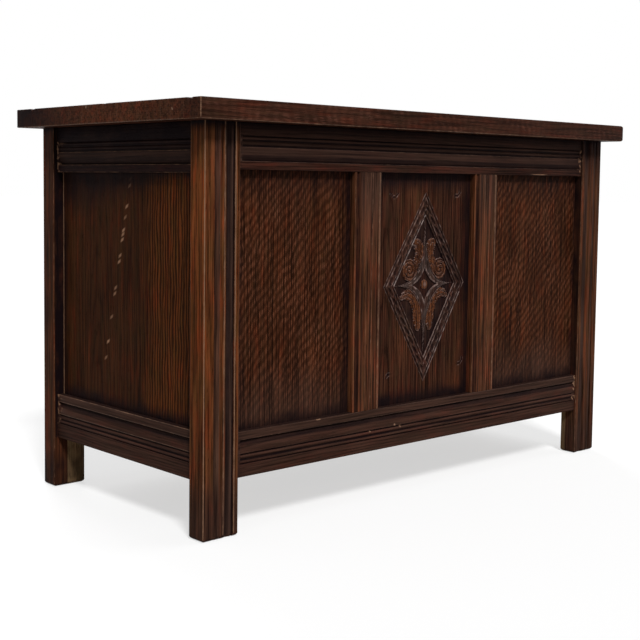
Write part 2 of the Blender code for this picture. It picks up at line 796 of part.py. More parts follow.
def hinge_leaf(name, side, way, first, middle, collection, cutters):
    """A leaf let into the top of the wood; way is 1 towards the fixed strip and -1 towards the lid."""
    top = LID_TOP
    start = middle - HINGE_LENGTH / 2
    knuckle = HINGE_LENGTH / KNUCKLE_COUNT
    arm_spare = LEAF_THICKNESS * (1 - KNUCKLE_ARM_SHARE) / 2
    inner = HINGE_AXIS_Y + way * (KNUCKLE_RADIUS + KNUCKLE_SPACE)
    outer = HINGE_AXIS_Y + way * LEAF_WIDTH
    leaf = box(
        name,
        (start, min(inner, outer), top - LEAF_THICKNESS),
        (start + HINGE_LENGTH, max(inner, outer), top),
        collection,
    )
    for number in range(first, KNUCKLE_COUNT, 2):
        low = start + knuckle * number + (KNUCKLE_SPACE / 2 if number > 0 else 0)
        high = start + knuckle * (number + 1) - (KNUCKLE_SPACE / 2 if number < KNUCKLE_COUNT - 1 else 0)
        reach = inner + way * OVERRUN
        arm = box(
            f"{name}_arm_{number}",
            (low, min(HINGE_AXIS_Y, reach), top - LEAF_THICKNESS + arm_spare),
            (high, max(HINGE_AXIS_Y, reach), top - arm_spare),
            cutters,
        )
        barrel = cylinder(
            f"{name}_barrel_{number}", KNUCKLE_RADIUS, (low, HINGE_AXIS_Y, top), (high, HINGE_AXIS_Y, top), cutters
        )
        cut(leaf, arm, "UNION")
        cut(leaf, barrel, "UNION")
    bore = cylinder(
        name + "_bore", HINGE_PIN_RADIUS + FIT,
        (start - OVERRUN, HINGE_AXIS_Y, top), (start + HINGE_LENGTH + OVERRUN, HINGE_AXIS_Y, top), cutters,
    )
    cut(leaf, bore)
    return leaf


def make_hinge(side, way, boards, collection, cutters):
    middle = way * (LID_WIDTH / 2 - HINGE_INSET)
    start, end = middle - HINGE_LENGTH / 2, middle + HINGE_LENGTH / 2
    strip, lid = boards["hinge_strip"], boards["lid_back_board"]
    pin = cylinder(
        f"hinge_pin_{side}", HINGE_PIN_RADIUS,
        (start, HINGE_AXIS_Y, LID_TOP), (end, HINGE_AXIS_Y, LID_TOP), collection,
    )
    named_finish(pin, STEEL, 0.35, 1.0)
    knuckle_bed = cylinder(
        f"hinge_bed_{side}", KNUCKLE_RADIUS + FIT * 2,
        (start - FIT, HINGE_AXIS_Y, LID_TOP), (end + FIT, HINGE_AXIS_Y, LID_TOP), cutters,
    )
    for name, toward, first, wood in (("fixed", 1, 0, strip), ("lid", -1, 1, lid)):
        leaf = hinge_leaf(f"hinge_{name}_leaf_{side}", side, toward, first, middle, collection, cutters)
        edge = HINGE_AXIS_Y + toward * (LEAF_WIDTH + FIT)
        bed = box(
            f"hinge_{name}_bed_{side}",
            (start - FIT, min(HINGE_AXIS_Y, edge), LID_TOP - LEAF_THICKNESS - FIT),
            (end + FIT, max(HINGE_AXIS_Y, edge), LID_TOP + OVERRUN),
            cutters,
        )
        cut(wood, bed)
        cut(wood, knuckle_bed)
        depth = HINGE_AXIS_Y + toward * (LEAF_WIDTH + KNUCKLE_RADIUS) / 2
        for place, offset in (("left", -HINGE_LENGTH / 4), ("right", HINGE_LENGTH / 4)):
            screw_and_hole(
                f"hinge_screw_{name}_{side}_{place}", (leaf, wood), HINGE_SCREW_HEAD_RADIUS, HINGE_SCREW_RADIUS,
                HINGE_SCREW_LENGTH, (middle + offset, depth, LID_TOP - FIT), -1, collection, cutters,
            )
        named_finish(leaf, BRASS, 0.35, 1.0)


def make_strip_screws(boards, rail_below, collection, cutters):
    """Screws down through the fixed strip into the top back rail."""
    depth = (HINGE_STRIP_FRONT + CARCASE_BACK) / 2
    place = LID_WIDTH / 2 - STRIP_SCREW_INSET
    for name, way in (("left", -1), ("right", 1)):
        screw_and_hole(
            f"strip_screw_{name}", (boards["hinge_strip"], rail_below), WOOD_SCREW_HEAD_RADIUS, WOOD_SCREW_RADIUS,
            STRIP_SCREW_LENGTH, (way * place, depth, LID_TOP - FIT), -1, collection, cutters,
        )


def hang_on_axis(pieces, collection):
    """Parents the lid's pieces to an empty on the hinge axis, where they are."""
    axis = bpy.data.objects.new("lid_hinge_axis", None)
    collection.objects.link(axis)
    axis.location = (0, HINGE_AXIS_Y, LID_TOP)
    bpy.context.view_layer.update()
    for piece in pieces:
        piece.parent = axis
        piece.matrix_parent_inverse = axis.matrix_world.inverted()


def main():
    clear_scene()
    chest = new_collection("blanket_chest")
    cutters = new_collection("cutters")
    front, right, rear, left = front_side(), right_side(), rear_side(), left_side()
    make_posts((front, right, rear, left), chest, cutters)
    make_front(front, chest, cutters)
    make_rear(rear, chest, cutters)
    make_end(left, chest, cutters)
    make_end(right, chest, cutters)
    make_floor(front, rear, left, chest)
    boards = make_lid_boards(chest, cutters)
    make_battens(boards, chest, cutters)
    for side, way in (("left", -1), ("right", 1)):
        make_hinge(side, way, boards, chest, cutters)
    make_strip_screws(boards, bpy.data.objects["rear_top_rail"], chest, cutters)
    on_lid = ("lid_", "batten_screw", "hinge_lid", "hinge_screw_lid")
    hang_on_axis([piece for piece in chest.objects if piece.name.startswith(on_lid)], chest)


main()
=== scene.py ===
"""Dresses a joined oak blanket chest: moulded posts, rails and muntins, a carved panel, a boarded lid.

Metres, +Z up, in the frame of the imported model: the chest faces -Y and stands on the floor at Z = 0.
"""

import math
from dataclasses import dataclass

import bmesh
import bpy
from bpy.props import FloatProperty, FloatVectorProperty, PointerProperty
from mathutils import Matrix, Vector, noise


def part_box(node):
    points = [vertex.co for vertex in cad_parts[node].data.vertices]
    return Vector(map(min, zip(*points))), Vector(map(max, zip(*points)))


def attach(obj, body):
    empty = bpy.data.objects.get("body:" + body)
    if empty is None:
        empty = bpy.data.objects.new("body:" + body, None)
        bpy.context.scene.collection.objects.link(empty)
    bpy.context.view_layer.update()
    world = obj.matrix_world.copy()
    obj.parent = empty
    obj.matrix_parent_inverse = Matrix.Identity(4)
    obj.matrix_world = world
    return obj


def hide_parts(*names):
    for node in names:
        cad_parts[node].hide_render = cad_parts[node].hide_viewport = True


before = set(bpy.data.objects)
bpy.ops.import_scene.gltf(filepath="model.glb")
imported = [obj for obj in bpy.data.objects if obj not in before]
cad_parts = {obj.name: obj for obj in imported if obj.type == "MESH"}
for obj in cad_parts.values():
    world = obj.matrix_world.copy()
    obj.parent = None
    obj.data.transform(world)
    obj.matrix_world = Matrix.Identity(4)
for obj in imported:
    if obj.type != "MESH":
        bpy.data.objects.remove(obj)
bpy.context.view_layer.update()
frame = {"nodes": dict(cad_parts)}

bl_info = {
    "name": "Oak Blanket Chest",
    "version": (1, 0, 0),
    "blender": (4, 5, 0),
    "location": "View3D > Sidebar > Chest",
    "description": "Models the mouldings, carving and dark oak finish of a panelled blanket chest",
    "category": "Object",
}

SAME_PLACE = 1e-6  # points closer than this are one
FIT = 0.0003  # the gap between pieces, and how far a place may stray from a face
WEAR_REACH = 0.0026  # how far wear reaches from an arris
MESH_STEP = 0.03  # the spacing of mesh lines along a board
SMOOTH_ANGLE = math.radians(38.0)
UP = Vector((0.0, 0.0, 1.0))
LID = "lid"
CARCASE = "carcase"


def length(name, description, default):
    return FloatProperty(
        name=name, description=description, default=default, min=0.0, precision=4, unit="LENGTH"
    )


def share(name, description, default):
    return FloatProperty(
        name=name, description=description, default=default, min=0.0, max=1.0, subtype="FACTOR"
    )


def colour(name, description, default):
    return FloatVectorProperty(
        name=name, description=description, default=default, size=3, min=0.0, max=1.0, subtype="COLOR"
    )


class ChestMoulding(bpy.types.PropertyGroup):
    """Widths and depths of the members that a scratch stock and a plane cut in the frame."""

    arris: length("Arris", "Rounding along the edges of posts, rails and muntins", 0.0011)
    quirk: length("Quirk", "Width of the sharp wall beside a member", 0.0006)
    reed_depth: length("Reed depth", "Depth of the grooves beside each reed", 0.0022)
    rail_fillet: length("Rail fillet", "Flat member beside the panels", 0.0120)
    rail_ovolo: length("Rail ovolo", "Broad round beside the fillet", 0.0204)
    rail_depth: length("Rail depth", "Depth of the round where it meets the fillet's wall", 0.0048)
    rail_groove: length("Rail groove", "Groove on each side of the inner bead", 0.0026)
    rail_inner_bead: length("Rail inner bead", "Narrow bead above the round", 0.0046)
    rail_outer_bead: length("Rail outer bead", "Wider bead beside the flat", 0.0050)
    stop: length("Stop", "Plain length left at each end of a rail's moulding", 0.0060)
    post_fillet: length("Post fillet", "Flat member beside the rails", 0.0085)
    post_groove: length("Post groove", "Groove between the fillet and the bead", 0.0030)
    post_bead: length("Post bead", "Narrow bead beside the groove", 0.0030)
    post_hollow: length("Post hollow", "Deep hollow between the bead and the reeds", 0.0085)
    post_hollow_depth: length("Post hollow depth", "Depth of that hollow", 0.0046)
    post_inner_reed: length("Post inner reed", "Reed beside the hollow", 0.0100)
    post_outer_reed: length("Post outer reed", "Reed beside the flat", 0.0125)
    post_trim: length("Post trim", "How much narrower the front right post is outside", 0.0050)
    muntin_fillet: length("Muntin fillet", "Flat member along each edge", 0.0030)
    muntin_hollow: length("Muntin hollow", "Hollow beside each fillet", 0.0082)
    muntin_hollow_depth: length("Muntin hollow depth", "Depth of those hollows", 0.0036)
    muntin_reed: length("Muntin reed", "Reed beside each hollow", 0.0095)
    muntin_groove: length("Muntin groove", "Depth of the grooves beside the reeds", 0.0010)
    foot_rounding: length("Foot rounding", "Worn corners under the posts", 0.0062)


class ChestCarving(bpy.types.PropertyGroup):
    """Sizes of the carved lozenge on the middle panel."""

    above: length("Above", "From the side points to the top point", 0.1550)
    below: length("Below", "From the side points to the bottom point", 0.1645)
    width: length("Width", "Lozenge from side to side", 0.1985)
    margin: length("Margin", "Plain rim round the lozenge that has the same fine mesh", 0.0020)
    rise: length("Rise", "Height of its side points above the floor", 0.3465)
    shift: FloatProperty(
        name="Shift", description="Its middle to the right of the opening's middle", default=0.0035,
        unit="LENGTH",
    )
    line: length("Line", "Width of each incised line", 0.0040)
    line_depth: length("Line depth", "Depth of each incised line", 0.0020)
    border: length("Border", "From the outer edge to the sunk field", 0.0212)
    border_edge: length("Border edge", "From each side of the border to its incised line", 0.0029)
    nick_pitch: length("Nick pitch", "Spacing of the gouge nicks along the border", 0.0195)
    nick_length: length("Nick length", "Half the length of a gouge nick", 0.0088)
    nick_width: length("Nick width", "Half the width of a gouge nick", 0.0029)
    nick_depth: length("Nick depth", "Depth of a gouge nick", 0.0024)
    ground: length("Ground", "Depth of the sunk ground round the leaves", 0.0030)
    boss: length("Boss", "Radius of the boss in the middle", 0.0085)
    leaf: length("Leaf", "Widest half width of a leaf", 0.0104)
    volute: length("Volute", "Radius of the volute that ends each upper leaf", 0.0190)


class ChestLid(bpy.types.PropertyGroup):
    """Small sizes of the lid."""

    joint_arris: length("Joint arris", "Chamfer along the joints on top of the lid", 0.0032)
    edge_arris: length("Edge arris", "Rounding along the lid's other edges", 0.0014)
    corner: length("Corner", "Rounding of the crisp front left corner seen from above", 0.0016)
    worn_end: length("Worn end", "Height of the rounding above and below the lid's right end", 0.0050)
    worn_reach: length("Worn reach", "How far from the right end that rounding starts", 0.0100)
    notch: length("Notch", "How far each joint is worn down at the lid's left end", 0.0026)
    worn_corner: length("Worn corner", "Rounding of the other corners seen from above", 0.0030)


class ChestFinish(bpy.types.PropertyGroup):
    """Colours of the stained and waxed oak, and how worn it is."""

    panel: colour("Panel oak", "Quarter-sawn oak of the plain front panels", (0.0380, 0.0123, 0.0053))
    carved: colour("Carved panel oak", "Plain-sawn oak of the carved panel", (0.0335, 0.0124, 0.0070))
    end_panel: colour("End panel oak", "Plain-sawn oak of the end panels", (0.0330, 0.0110, 0.0040))
    frame: colour("Rail oak", "Oak of the rails", (0.0320, 0.0120, 0.0076))
    post: colour("Post oak", "Warmer oak of the posts", (0.0590, 0.0200, 0.0082))
    muntin: colour("Muntin oak", "Oak of the muntins", (0.0700, 0.0240, 0.0105))
    lid: colour("Lid oak", "Reddish oak of the lid", (0.0460, 0.0170, 0.0098))
    raw: colour("Bare oak", "Unstained oak inside the chest", (0.300, 0.1850, 0.0900))
    leaf: colour("Leaf", "Warmer stain on the carved leaves", (0.0950, 0.0310, 0.0115))
    # Grey wax, and also painted sheen on the reeds and rounds and a painted reflection of the floor low on
    # the panels and posts.
    cool: colour("Dusty wax", "Greyer wax on the reeds and rounds", (0.0440, 0.0230, 0.0165))
    dust: colour("Dusty carving", "Pale grey wax on the carved star and border", (0.0500, 0.0330, 0.0285))
    # Old wax, and also the colour of painted shade under the lid, in corners and beside the panels.
    dirt: colour("Old wax", "Dark wax and stain in the corners and grooves", (0.0075, 0.0040, 0.0046))
    worn: colour("Worn oak", "Oak where the stain is rubbed off an arris", (0.2000, 0.1080, 0.0640))
    brass: colour("Brass", "Hinge leaves", (0.420, 0.2700, 0.0900))
    steel: colour("Steel", "Screws and hinge pins", (0.300, 0.2850, 0.2650))
    wear: share("Wear", "How much stain is rubbed off the arrises", 0.62)


class ChestStage(bpy.types.PropertyGroup):
    """Camera, lamps and floor."""

    camera_place: FloatVectorProperty(
        name="Camera", description="Where the camera stands", default=(-1.48493, -1.54912, 0.51494),
        size=3, subtype="TRANSLATION", unit="LENGTH",
    )
    yaw: FloatProperty(name="Yaw", description="Turn to the right from +Y", default=0.735, unit="ROTATION")
    pitch: FloatProperty(name="Pitch", description="Tilt downwards", default=0.0737, unit="ROTATION")
    roll: FloatProperty(name="Roll", description="Tilt of the picture", default=-0.0117, unit="ROTATION")
    lens: FloatProperty(name="Lens", description="Focal length in millimetres", default=66.708)
    shift: FloatVectorProperty(name="Shift", description="Lens shift", default=(0.0234, -0.0781), size=2)
    floor: colour("Floor", "Pale studio floor", (0.40, 0.40, 0.40))
    floor_lift: share("Floor lift", "Light added to the floor where the camera or gloss shows it", 0.60)
    ambient: share("Ambient", "Even light from all round", 0.28)


# Shader trees


class Wiring:
    """Adds nodes to a shader tree and joins them."""

    def __init__(self, tree):
        self.tree = tree

    def add(self, kind, feeds=None, **settings):
        made = self.tree.nodes.new(kind)
        for name, value in settings.items():
            setattr(made, name, value)
        for name, value in (feeds or {}).items():
            self.feed(made.inputs[name], value)
        return made

    def feed(self, socket, value):
        if isinstance(value, bpy.types.NodeSocket):
            self.tree.links.new(value, socket)
        else:
            socket.default_value = value

    def math(self, operation, first, second=0.0, clamp=False):
        feeds = {0: first, 1: second}
        return self.add("ShaderNodeMath", feeds, operation=operation, use_clamp=clamp).outputs[0]

    def times(self, first, second, clamp=False):
        return self.math("MULTIPLY", first, second, clamp)

    def plus(self, first, second, clamp=False):
        return self.math("ADD", first, second, clamp)

    def minus(self, first, second):
        return self.math("SUBTRACT", first, second)

    def remap(self, value, low, high, to_low=0.0, to_high=1.0, smooth=True):
        feeds = {"Value": value, "From Min": low, "From Max": high, "To Min": to_low, "To Max": to_high}
        kind = "SMOOTHSTEP" if smooth else "LINEAR"
        return self.add("ShaderNodeMapRange", feeds, interpolation_type=kind).outputs["Result"]

    def stretched(self, vector, scales):
        feeds = {0: vector, 1: scales}
        return self.add("ShaderNodeVectorMath", feeds, operation="MULTIPLY").outputs["Vector"]

    def noise(self, vector, scales, detail=2.0, roughness=0.5):
        feeds = {"Vector": self.stretched(vector, scales), "Scale": 1.0}
        feeds.update({"Detail": detail, "Roughness": roughness})
        return self.add("ShaderNodeTexNoise", feeds).outputs["Fac"]

    def mix(self, factor, first, second, blend="MIX"):
        feeds = {0: factor, 6: first, 7: second}
        made = self.add("ShaderNodeMix", feeds, data_type="RGBA", blend_type=blend, clamp_factor=True)
        return made.outputs[2]

    def attribute(self, name):
        return self.add("ShaderNodeAttribute", attribute_name=name).outputs["Fac"]

    def group(self, tree, **feeds):
        """A node group with its inputs fed, their names in small letters with underscores."""
        named = {name.replace("_", " ").title(): value for name, value in feeds.items()}
        return self.add("ShaderNodeGroup", named, node_tree=tree).outputs


def new_group(name, inputs, outputs):
    """A shader node group with named sockets, each a pair of its name and its kind."""
    group = bpy.data.node_groups.new(name, "ShaderNodeTree")
    for socket, kind in inputs:
        group.interface.new_socket(name=socket, in_out="INPUT", socket_type="NodeSocket" + kind)
    for socket, kind in outputs:
        group.interface.new_socket(name=socket, in_out="OUTPUT", socket_type="NodeSocket" + kind)
    wiring = Wiring(group)
    return group, wiring, wiring.add("NodeGroupInput").outputs, wiring.add("NodeGroupOutput").inputs


def oak_grain_group():
    """Growth rings, strands, fibres and pores of oak, from a place given across, into and along a board."""
    group, w, given, out = new_group(
        "Oak grain",
        (("Place", "Vector"), ("Ring Width", "Float"), ("Pith Depth", "Float"), ("Tilt", "Float"),
         ("Wander", "Float"), ("Ring Share", "Float"), ("Strand Share", "Float"), ("Fineness", "Float"),
         ("Line Pitch", "Float"), ("Line Share", "Float")),
        (("Tone", "Float"), ("Pore", "Float"), ("Strand", "Float"), ("Line", "Float"), ("Drift", "Float")),
    )
    place = given["Place"]
    fineness = {0: given["Fineness"], 1: given["Fineness"], 2: 1.0}
    fine_place = w.stretched(place, w.add("ShaderNodeCombineXYZ", fineness).outputs[0])
    axes = w.add("ShaderNodeSeparateXYZ", {0: place}).outputs
    sway = w.minus(w.noise(place, (5.0, 5.0, 1.6), 2.0), 0.5)
    ripple = w.minus(w.noise(place, (38.0, 38.0, 7.0), 2.0), 0.5)
    across = w.plus(axes["X"], w.times(sway, given["Wander"]))
    depth = w.plus(w.times(axes["Z"], given["Tilt"]), given["Pith Depth"])
    depth = w.plus(depth, axes["Y"])
    radius = w.math("SQRT", w.plus(w.math("POWER", across, 2.0), w.math("POWER", depth, 2.0)))
    turns = w.plus(w.math("DIVIDE", radius, given["Ring Width"]), w.times(ripple, 1.5))
    phase = w.math("FRACT", turns)
    ring = w.times(w.remap(phase, 0.0, 0.45), w.remap(phase, 1.0, 0.86))
    strand = w.remap(w.noise(fine_place, (230.0, 230.0, 7.0), 2.0, 0.55), 0.36, 0.64, -0.5, 0.5)
    fibre = w.remap(w.noise(fine_place, (560.0, 560.0, 13.0), 2.0, 0.6), 0.32, 0.68, -0.5, 0.5)
    mottle = w.remap(w.noise(place, (11.0, 11.0, 4.5), 3.0, 0.55), 0.25, 0.75, -0.5, 0.5)
    stray = w.times(w.minus(w.noise(place, (60.0, 60.0, 12.0), 2.0), 0.5), 2.2)
    line = w.math("PINGPONG", w.plus(w.math("DIVIDE", axes["X"], given["Line Pitch"]), stray), 0.5)
    line = w.remap(line, 0.12, 0.42)
    streak = w.times(w.minus(line, 0.5), given["Line Share"])
    tone = w.times(w.minus(ring, 0.5), given["Ring Share"])
    for part, weight in ((strand, 0.45), (fibre, 0.25)):
        tone = w.plus(tone, w.times(w.times(part, weight), given["Strand Share"]))
    tone = w.plus(w.plus(tone, streak), w.times(mottle, 0.34))
    early = w.remap(phase, 0.62, 0.10, 0.25, 1.0)
    pore = w.times(w.remap(w.noise(place, (1000.0, 1000.0, 65.0), 1.0), 0.57, 0.66), early)
    w.feed(out["Tone"], w.plus(tone, 0.40, clamp=True))
    w.feed(out["Pore"], pore)
    w.feed(out["Strand"], w.remap(strand, 0.05, -0.45))
    w.feed(out["Line"], line)
    w.feed(out["Drift"], w.noise(place, (60.0, 60.0, 16.0), 2.0, 0.6))
    return group


def ray_fleck_group():
    """The figure of quarter-sawn oak: short bright dashes along the grain, in wavy bands across it."""
    group, w, given, out = new_group(
        "Ray fleck",
        (("Place", "Vector"), ("Line", "Float"), ("Slope", "Float"), ("Pitch", "Float")),
        (("Fleck", "Float"), ("Band", "Float")),
    )
    place = given["Place"]
    axes = w.add("ShaderNodeSeparateXYZ", {0: place}).outputs
    sway = w.minus(w.noise(place, (17.0, 17.0, 9.0), 2.0), 0.5)
    climb = w.minus(axes["Z"], w.times(axes["X"], given["Slope"]))
    phase = w.plus(w.math("DIVIDE", climb, given["Pitch"]), w.times(sway, 3.0))
    swing = w.math("PINGPONG", phase, 0.5)
    band = w.remap(swing, 0.08, 0.40)
    dash = w.remap(w.noise(place, (400.0, 400.0, 100.0), 1.0, 0.5), 0.38, 0.60)
    dash = w.times(dash, w.remap(given["Line"], 0.0, 1.0, 0.25, 1.0))
    patchy = w.remap(w.noise(place, (16.0, 16.0, 10.0), 1.0), 0.30, 0.62, 0.30, 1.0)
    dash = w.times(dash, w.plus(w.times(band, 0.75), 0.25))
    fleck = w.times(dash, patchy)
    w.feed(out["Fleck"], fleck)
    w.feed(out["Band"], band)
    return group


# The height and strength of each spot
SPOTS = (
    (0.518, 0.4), (0.507, 0.6), (0.475, 0.9), (0.458, 0.5), (0.438, 1.0), (0.4315, 0.9), (0.423, 1.0),
    (0.398, 0.8), (0.3885, 0.9), (0.347, 0.7), (0.3375, 0.7), (0.300, 0.6), (0.260, 1.0), (0.2335, 0.6),
)


def spot_row_group():
    """A drifting row of small pale spots along the grain, where a ray or a pin knot was cut through."""
    group, w, given, out = new_group("Spot row", (("Place", "Vector"),), (("Spot", "Float"),))
    axes = w.add("ShaderNodeSeparateXYZ", {0: given["Place"]}).outputs
    slope, start, lean = 0.2435, -0.0334, 0.5
    path = w.plus(w.times(axes["Z"], slope), start)
    line = w.remap(w.math("ABSOLUTE", w.minus(axes["X"], path)), 0.0050, 0.0012)
    tilted = w.minus(axes["Z"], w.times(axes["X"], lean))
    spots = 0.0
    for height, strength in SPOTS:
        away = w.math("ABSOLUTE", w.minus(tilted, height - lean * (slope * height + start)))
        spots = w.math("MAXIMUM", spots, w.remap(away, 0.0034, 0.0010, 0.0, strength))
    w.feed(out["Spot"], w.times(line, spots))
    return group


def patina_group():
    """Dark wax that gathers in corners, with painted shade in the same colour, stain rubbed off arrises,
    and small knocks.
    """
    group, w, given, out = new_group(
        "Patina",
        (("Colour", "Color"), ("Dirt Colour", "Color"), ("Worn Colour", "Color"), ("Place", "Vector"),
         ("Dirt", "Float"), ("Wear", "Float"), ("Amount", "Float")),
        (("Colour", "Color"), ("Gloss", "Float"), ("Polish", "Float"), ("Height", "Float")),
    )
    place = given["Place"]
    cloud = w.noise(place, (34.0, 34.0, 22.0), 4.0, 0.6)
    dirt = w.times(given["Dirt"], w.remap(cloud, 0.15, 0.75, 0.70, 1.20), clamp=True)
    colour_out = w.mix(dirt, given["Colour"], given["Dirt Colour"])
    chips = w.noise(place, (240.0, 240.0, 60.0), 4.0, 0.65)
    rubbed = w.plus(w.times(given["Wear"], given["Amount"]), w.times(chips, 0.75))
    worn = w.remap(rubbed, 0.62, 1.02)
    colour_out = w.mix(worn, colour_out, given["Worn Colour"])
    cells = {"Vector": w.stretched(place, (13.0, 13.0, 9.0)), "Scale": 1.0}
    away = w.add("ShaderNodeTexVoronoi", cells, feature="F1").outputs["Distance"]
    knocks = w.remap(away, 0.045, 0.015)
    w.feed(out["Colour"], colour_out)
    w.feed(out["Gloss"], w.plus(w.times(worn, 0.12), w.times(cloud, 0.10)))
    handled = w.remap(given["Wear"], 0.1, 0.7, 0.0, 0.16)
    w.feed(out["Polish"], w.times(handled, w.remap(dirt, 0.0, 0.5, 1.0, 0.0)))
    w.feed(out["Height"], w.times(knocks, -1.0))
    return group


@dataclass
class Oak:
    """One oak finish. The axes, for a solid of the CAD, run across, into and along its board."""

    name: str
    tint: tuple
    ring_width: float = 0.0035
    pith: float = 0.02
    tilt: float = 0.0
    wander: float = 0.03
    fleck: float = 0.0
    slope: float = 0.9
    rings: float = 0.6
    strands: float = 1.2
    warm: float = 0.0
    row: float = 0.0
    fineness: float = 1.0
    pitch: float = 0.0046
    lines: float = 0.12
    warm_lines: float = 0.0
    drift: float = 0.8
    dust: tuple = None
    gloss: float = 0.46
    axes: str = None


def board_place(w, axes):
    """Where a point lies across, into and along its board."""
    if axes is None:
        return w.add("ShaderNodeAttribute", attribute_name="grain").outputs["Vector"]
    spot = w.add("ShaderNodeSeparateXYZ", {0: w.add("ShaderNodeTexCoord").outputs["Object"]}).outputs
    turned = {number: spot[axis] for number, axis in enumerate(axes)}
    return w.add("ShaderNodeCombineXYZ", turned).outputs[0]


def scaled(tint, amount):
    return tuple(min(1.0, part * amount) for part in tint) + (1.0,)


def warmed(tint, amount):
    """A tint turned towards orange."""
    return scaled((tint[0] * 1.15, tint[1] * 1.02, tint[2] * 0.72), amount)


REDDER = (1.45, 0.98, 0.92, 1.0)
GREENER = (0.78, 0.98, 0.92, 1.0)
RAY_BAND_PITCH = 0.0165


def oak_material(settings, groups):
    """Stained oak with its grain, figure, old wax and wear, and the painted shade, sheen and highlights
    that its attributes carry.
    """
    finish = bpy.context.scene.chest_finish
    material = bpy.data.materials.new(settings.name)
    material.use_nodes = True
    tree = material.node_tree
    shader = tree.nodes["Principled BSDF"]
    w = Wiring(tree)
    place = board_place(w, settings.axes)
    grain = w.group(
        groups["grain"], place=place, ring_width=settings.ring_width, pith_depth=settings.pith,
        tilt=settings.tilt, wander=settings.wander, ring_share=settings.rings,
        strand_share=settings.strands, fineness=settings.fineness, line_pitch=settings.pitch,
        line_share=w.plus(w.times(w.attribute("warm"), settings.warm_lines), settings.lines),
    )
    tone, pore = grain["Tone"], grain["Pore"]
    tint = tuple(settings.tint)
    base = w.mix(tone, scaled(tint, 0.26), scaled(tint, 2.1))
    glow = w.remap(w.noise(place, (9.0, 9.0, 2.6), 2.0), 0.42, 0.72, 0.0, settings.warm)
    glow = w.plus(glow, w.attribute("warm"), clamp=True)
    base = w.mix(glow, base, w.mix(tone, warmed(tint, 0.65), warmed(tint, 3.0)))
    drift = grain["Drift"]
    for end, shift in ((0.70, REDDER), (0.32, GREENER)):
        base = w.mix(w.remap(drift, 0.50, end, 0.0, settings.drift), base, shift, "MULTIPLY")
    base = w.mix(w.times(pore, 0.70), base, scaled(tint, 0.16))
    relief = w.minus(w.times(tone, 0.6), w.times(pore, 0.9))
    if settings.fleck:
        figure = w.group(
            groups["fleck"], place=place, line=grain["Line"], slope=settings.slope, pitch=RAY_BAND_PITCH
        )
        shade = w.remap(figure["Band"], 0.0, 1.0, 0.45 * settings.fleck, 0.0)
        base = w.mix(shade, base, scaled(tint, 0.22))
        pale = w.mix(drift, scaled((tint[0] * 0.95, tint[1] * 1.2, tint[2] * 1.9), 3.2), warmed(tint, 3.4))
        base = w.mix(w.times(figure["Fleck"], settings.fleck), base, pale)
        base = w.mix(w.times(grain["Strand"], 0.45), base, scaled(tint, 0.22))
        relief = w.plus(relief, w.times(figure["Fleck"], 0.5))
    if settings.row:
        spots = w.group(groups["row"], place=place)["Spot"]
        base = w.mix(w.times(spots, settings.row), base, scaled(tuple(finish.worn), 1.5))
    leaf = tuple(finish.leaf)
    base = w.mix(w.attribute("leaf"), base, w.mix(tone, scaled(leaf, 0.35), scaled(leaf, 1.7)))
    cool = tuple(settings.dust or finish.cool)
    worn = tuple(part * 3.6 for part in settings.dust) if settings.dust else tuple(finish.worn)
    # Greyer colour: grey wax, painted sheen on the rounds and a painted reflection of the floor.
    base = w.mix(w.attribute("cool"), base, w.mix(tone, scaled(cool, 0.50), scaled(cool, 1.6)))
    patina = w.group(
        groups["patina"], colour=base, dirt_colour=scaled(tuple(finish.dirt), 1.0),
        worn_colour=scaled(worn, 1.0), place=place, dirt=w.attribute("dirt"), wear=w.attribute("wear"),
        amount=finish.wear,
    )
    relief = w.plus(relief, w.times(patina["Height"], 1.4))
    bump = w.add("ShaderNodeBump", {"Height": relief, "Strength": 0.6, "Distance": 0.0006})
    w.feed(shader.inputs["Base Color"], patina["Colour"])
    rough = w.plus(patina["Gloss"], w.times(pore, 0.15))
    w.feed(shader.inputs["Roughness"], w.plus(rough, settings.gloss - 0.05))
    w.feed(shader.inputs["Normal"], bump.outputs["Normal"])
    w.feed(shader.inputs["Coat Weight"], patina["Polish"])
    shader.inputs["Coat Roughness"].default_value = 0.30
    shader.inputs["Specular IOR Level"].default_value = 0.01
    material.diffuse_color = scaled(tint, 1.0)
    return material


def metal_material(name, tint, roughness):
    """Old metal: tarnish in clouds, fine scratches and dulled edges."""
    material = bpy.data.materials.new(name)
    material.use_nodes = True
    shader = material.node_tree.nodes["Principled BSDF"]
    w = Wiring(material.node_tree)
    spot = w.add("ShaderNodeTexCoord").outputs["Object"]
    cloud = w.noise(spot, (190.0, 190.0, 190.0), 4.0, 0.6)
    scratch = w.noise(spot, (150.0, 2200.0, 2200.0), 2.0)
    tone = w.plus(w.times(cloud, 0.8), w.times(scratch, 0.3))
    colour_out = w.mix(w.remap(tone, 0.35, 0.75), scaled(tint, 0.40), scaled(tint, 1.15))
    w.feed(shader.inputs["Base Color"], colour_out)
    w.feed(shader.inputs["Roughness"], w.remap(tone, 0.3, 0.8, roughness + 0.22, roughness))
    bump = w.add("ShaderNodeBump", {"Height": scratch, "Strength": 0.25, "Distance": 0.0002})
    w.feed(shader.inputs["Normal"], bump.outputs["Normal"])
    shader.inputs["Metallic"].default_value = 1.0
    return material


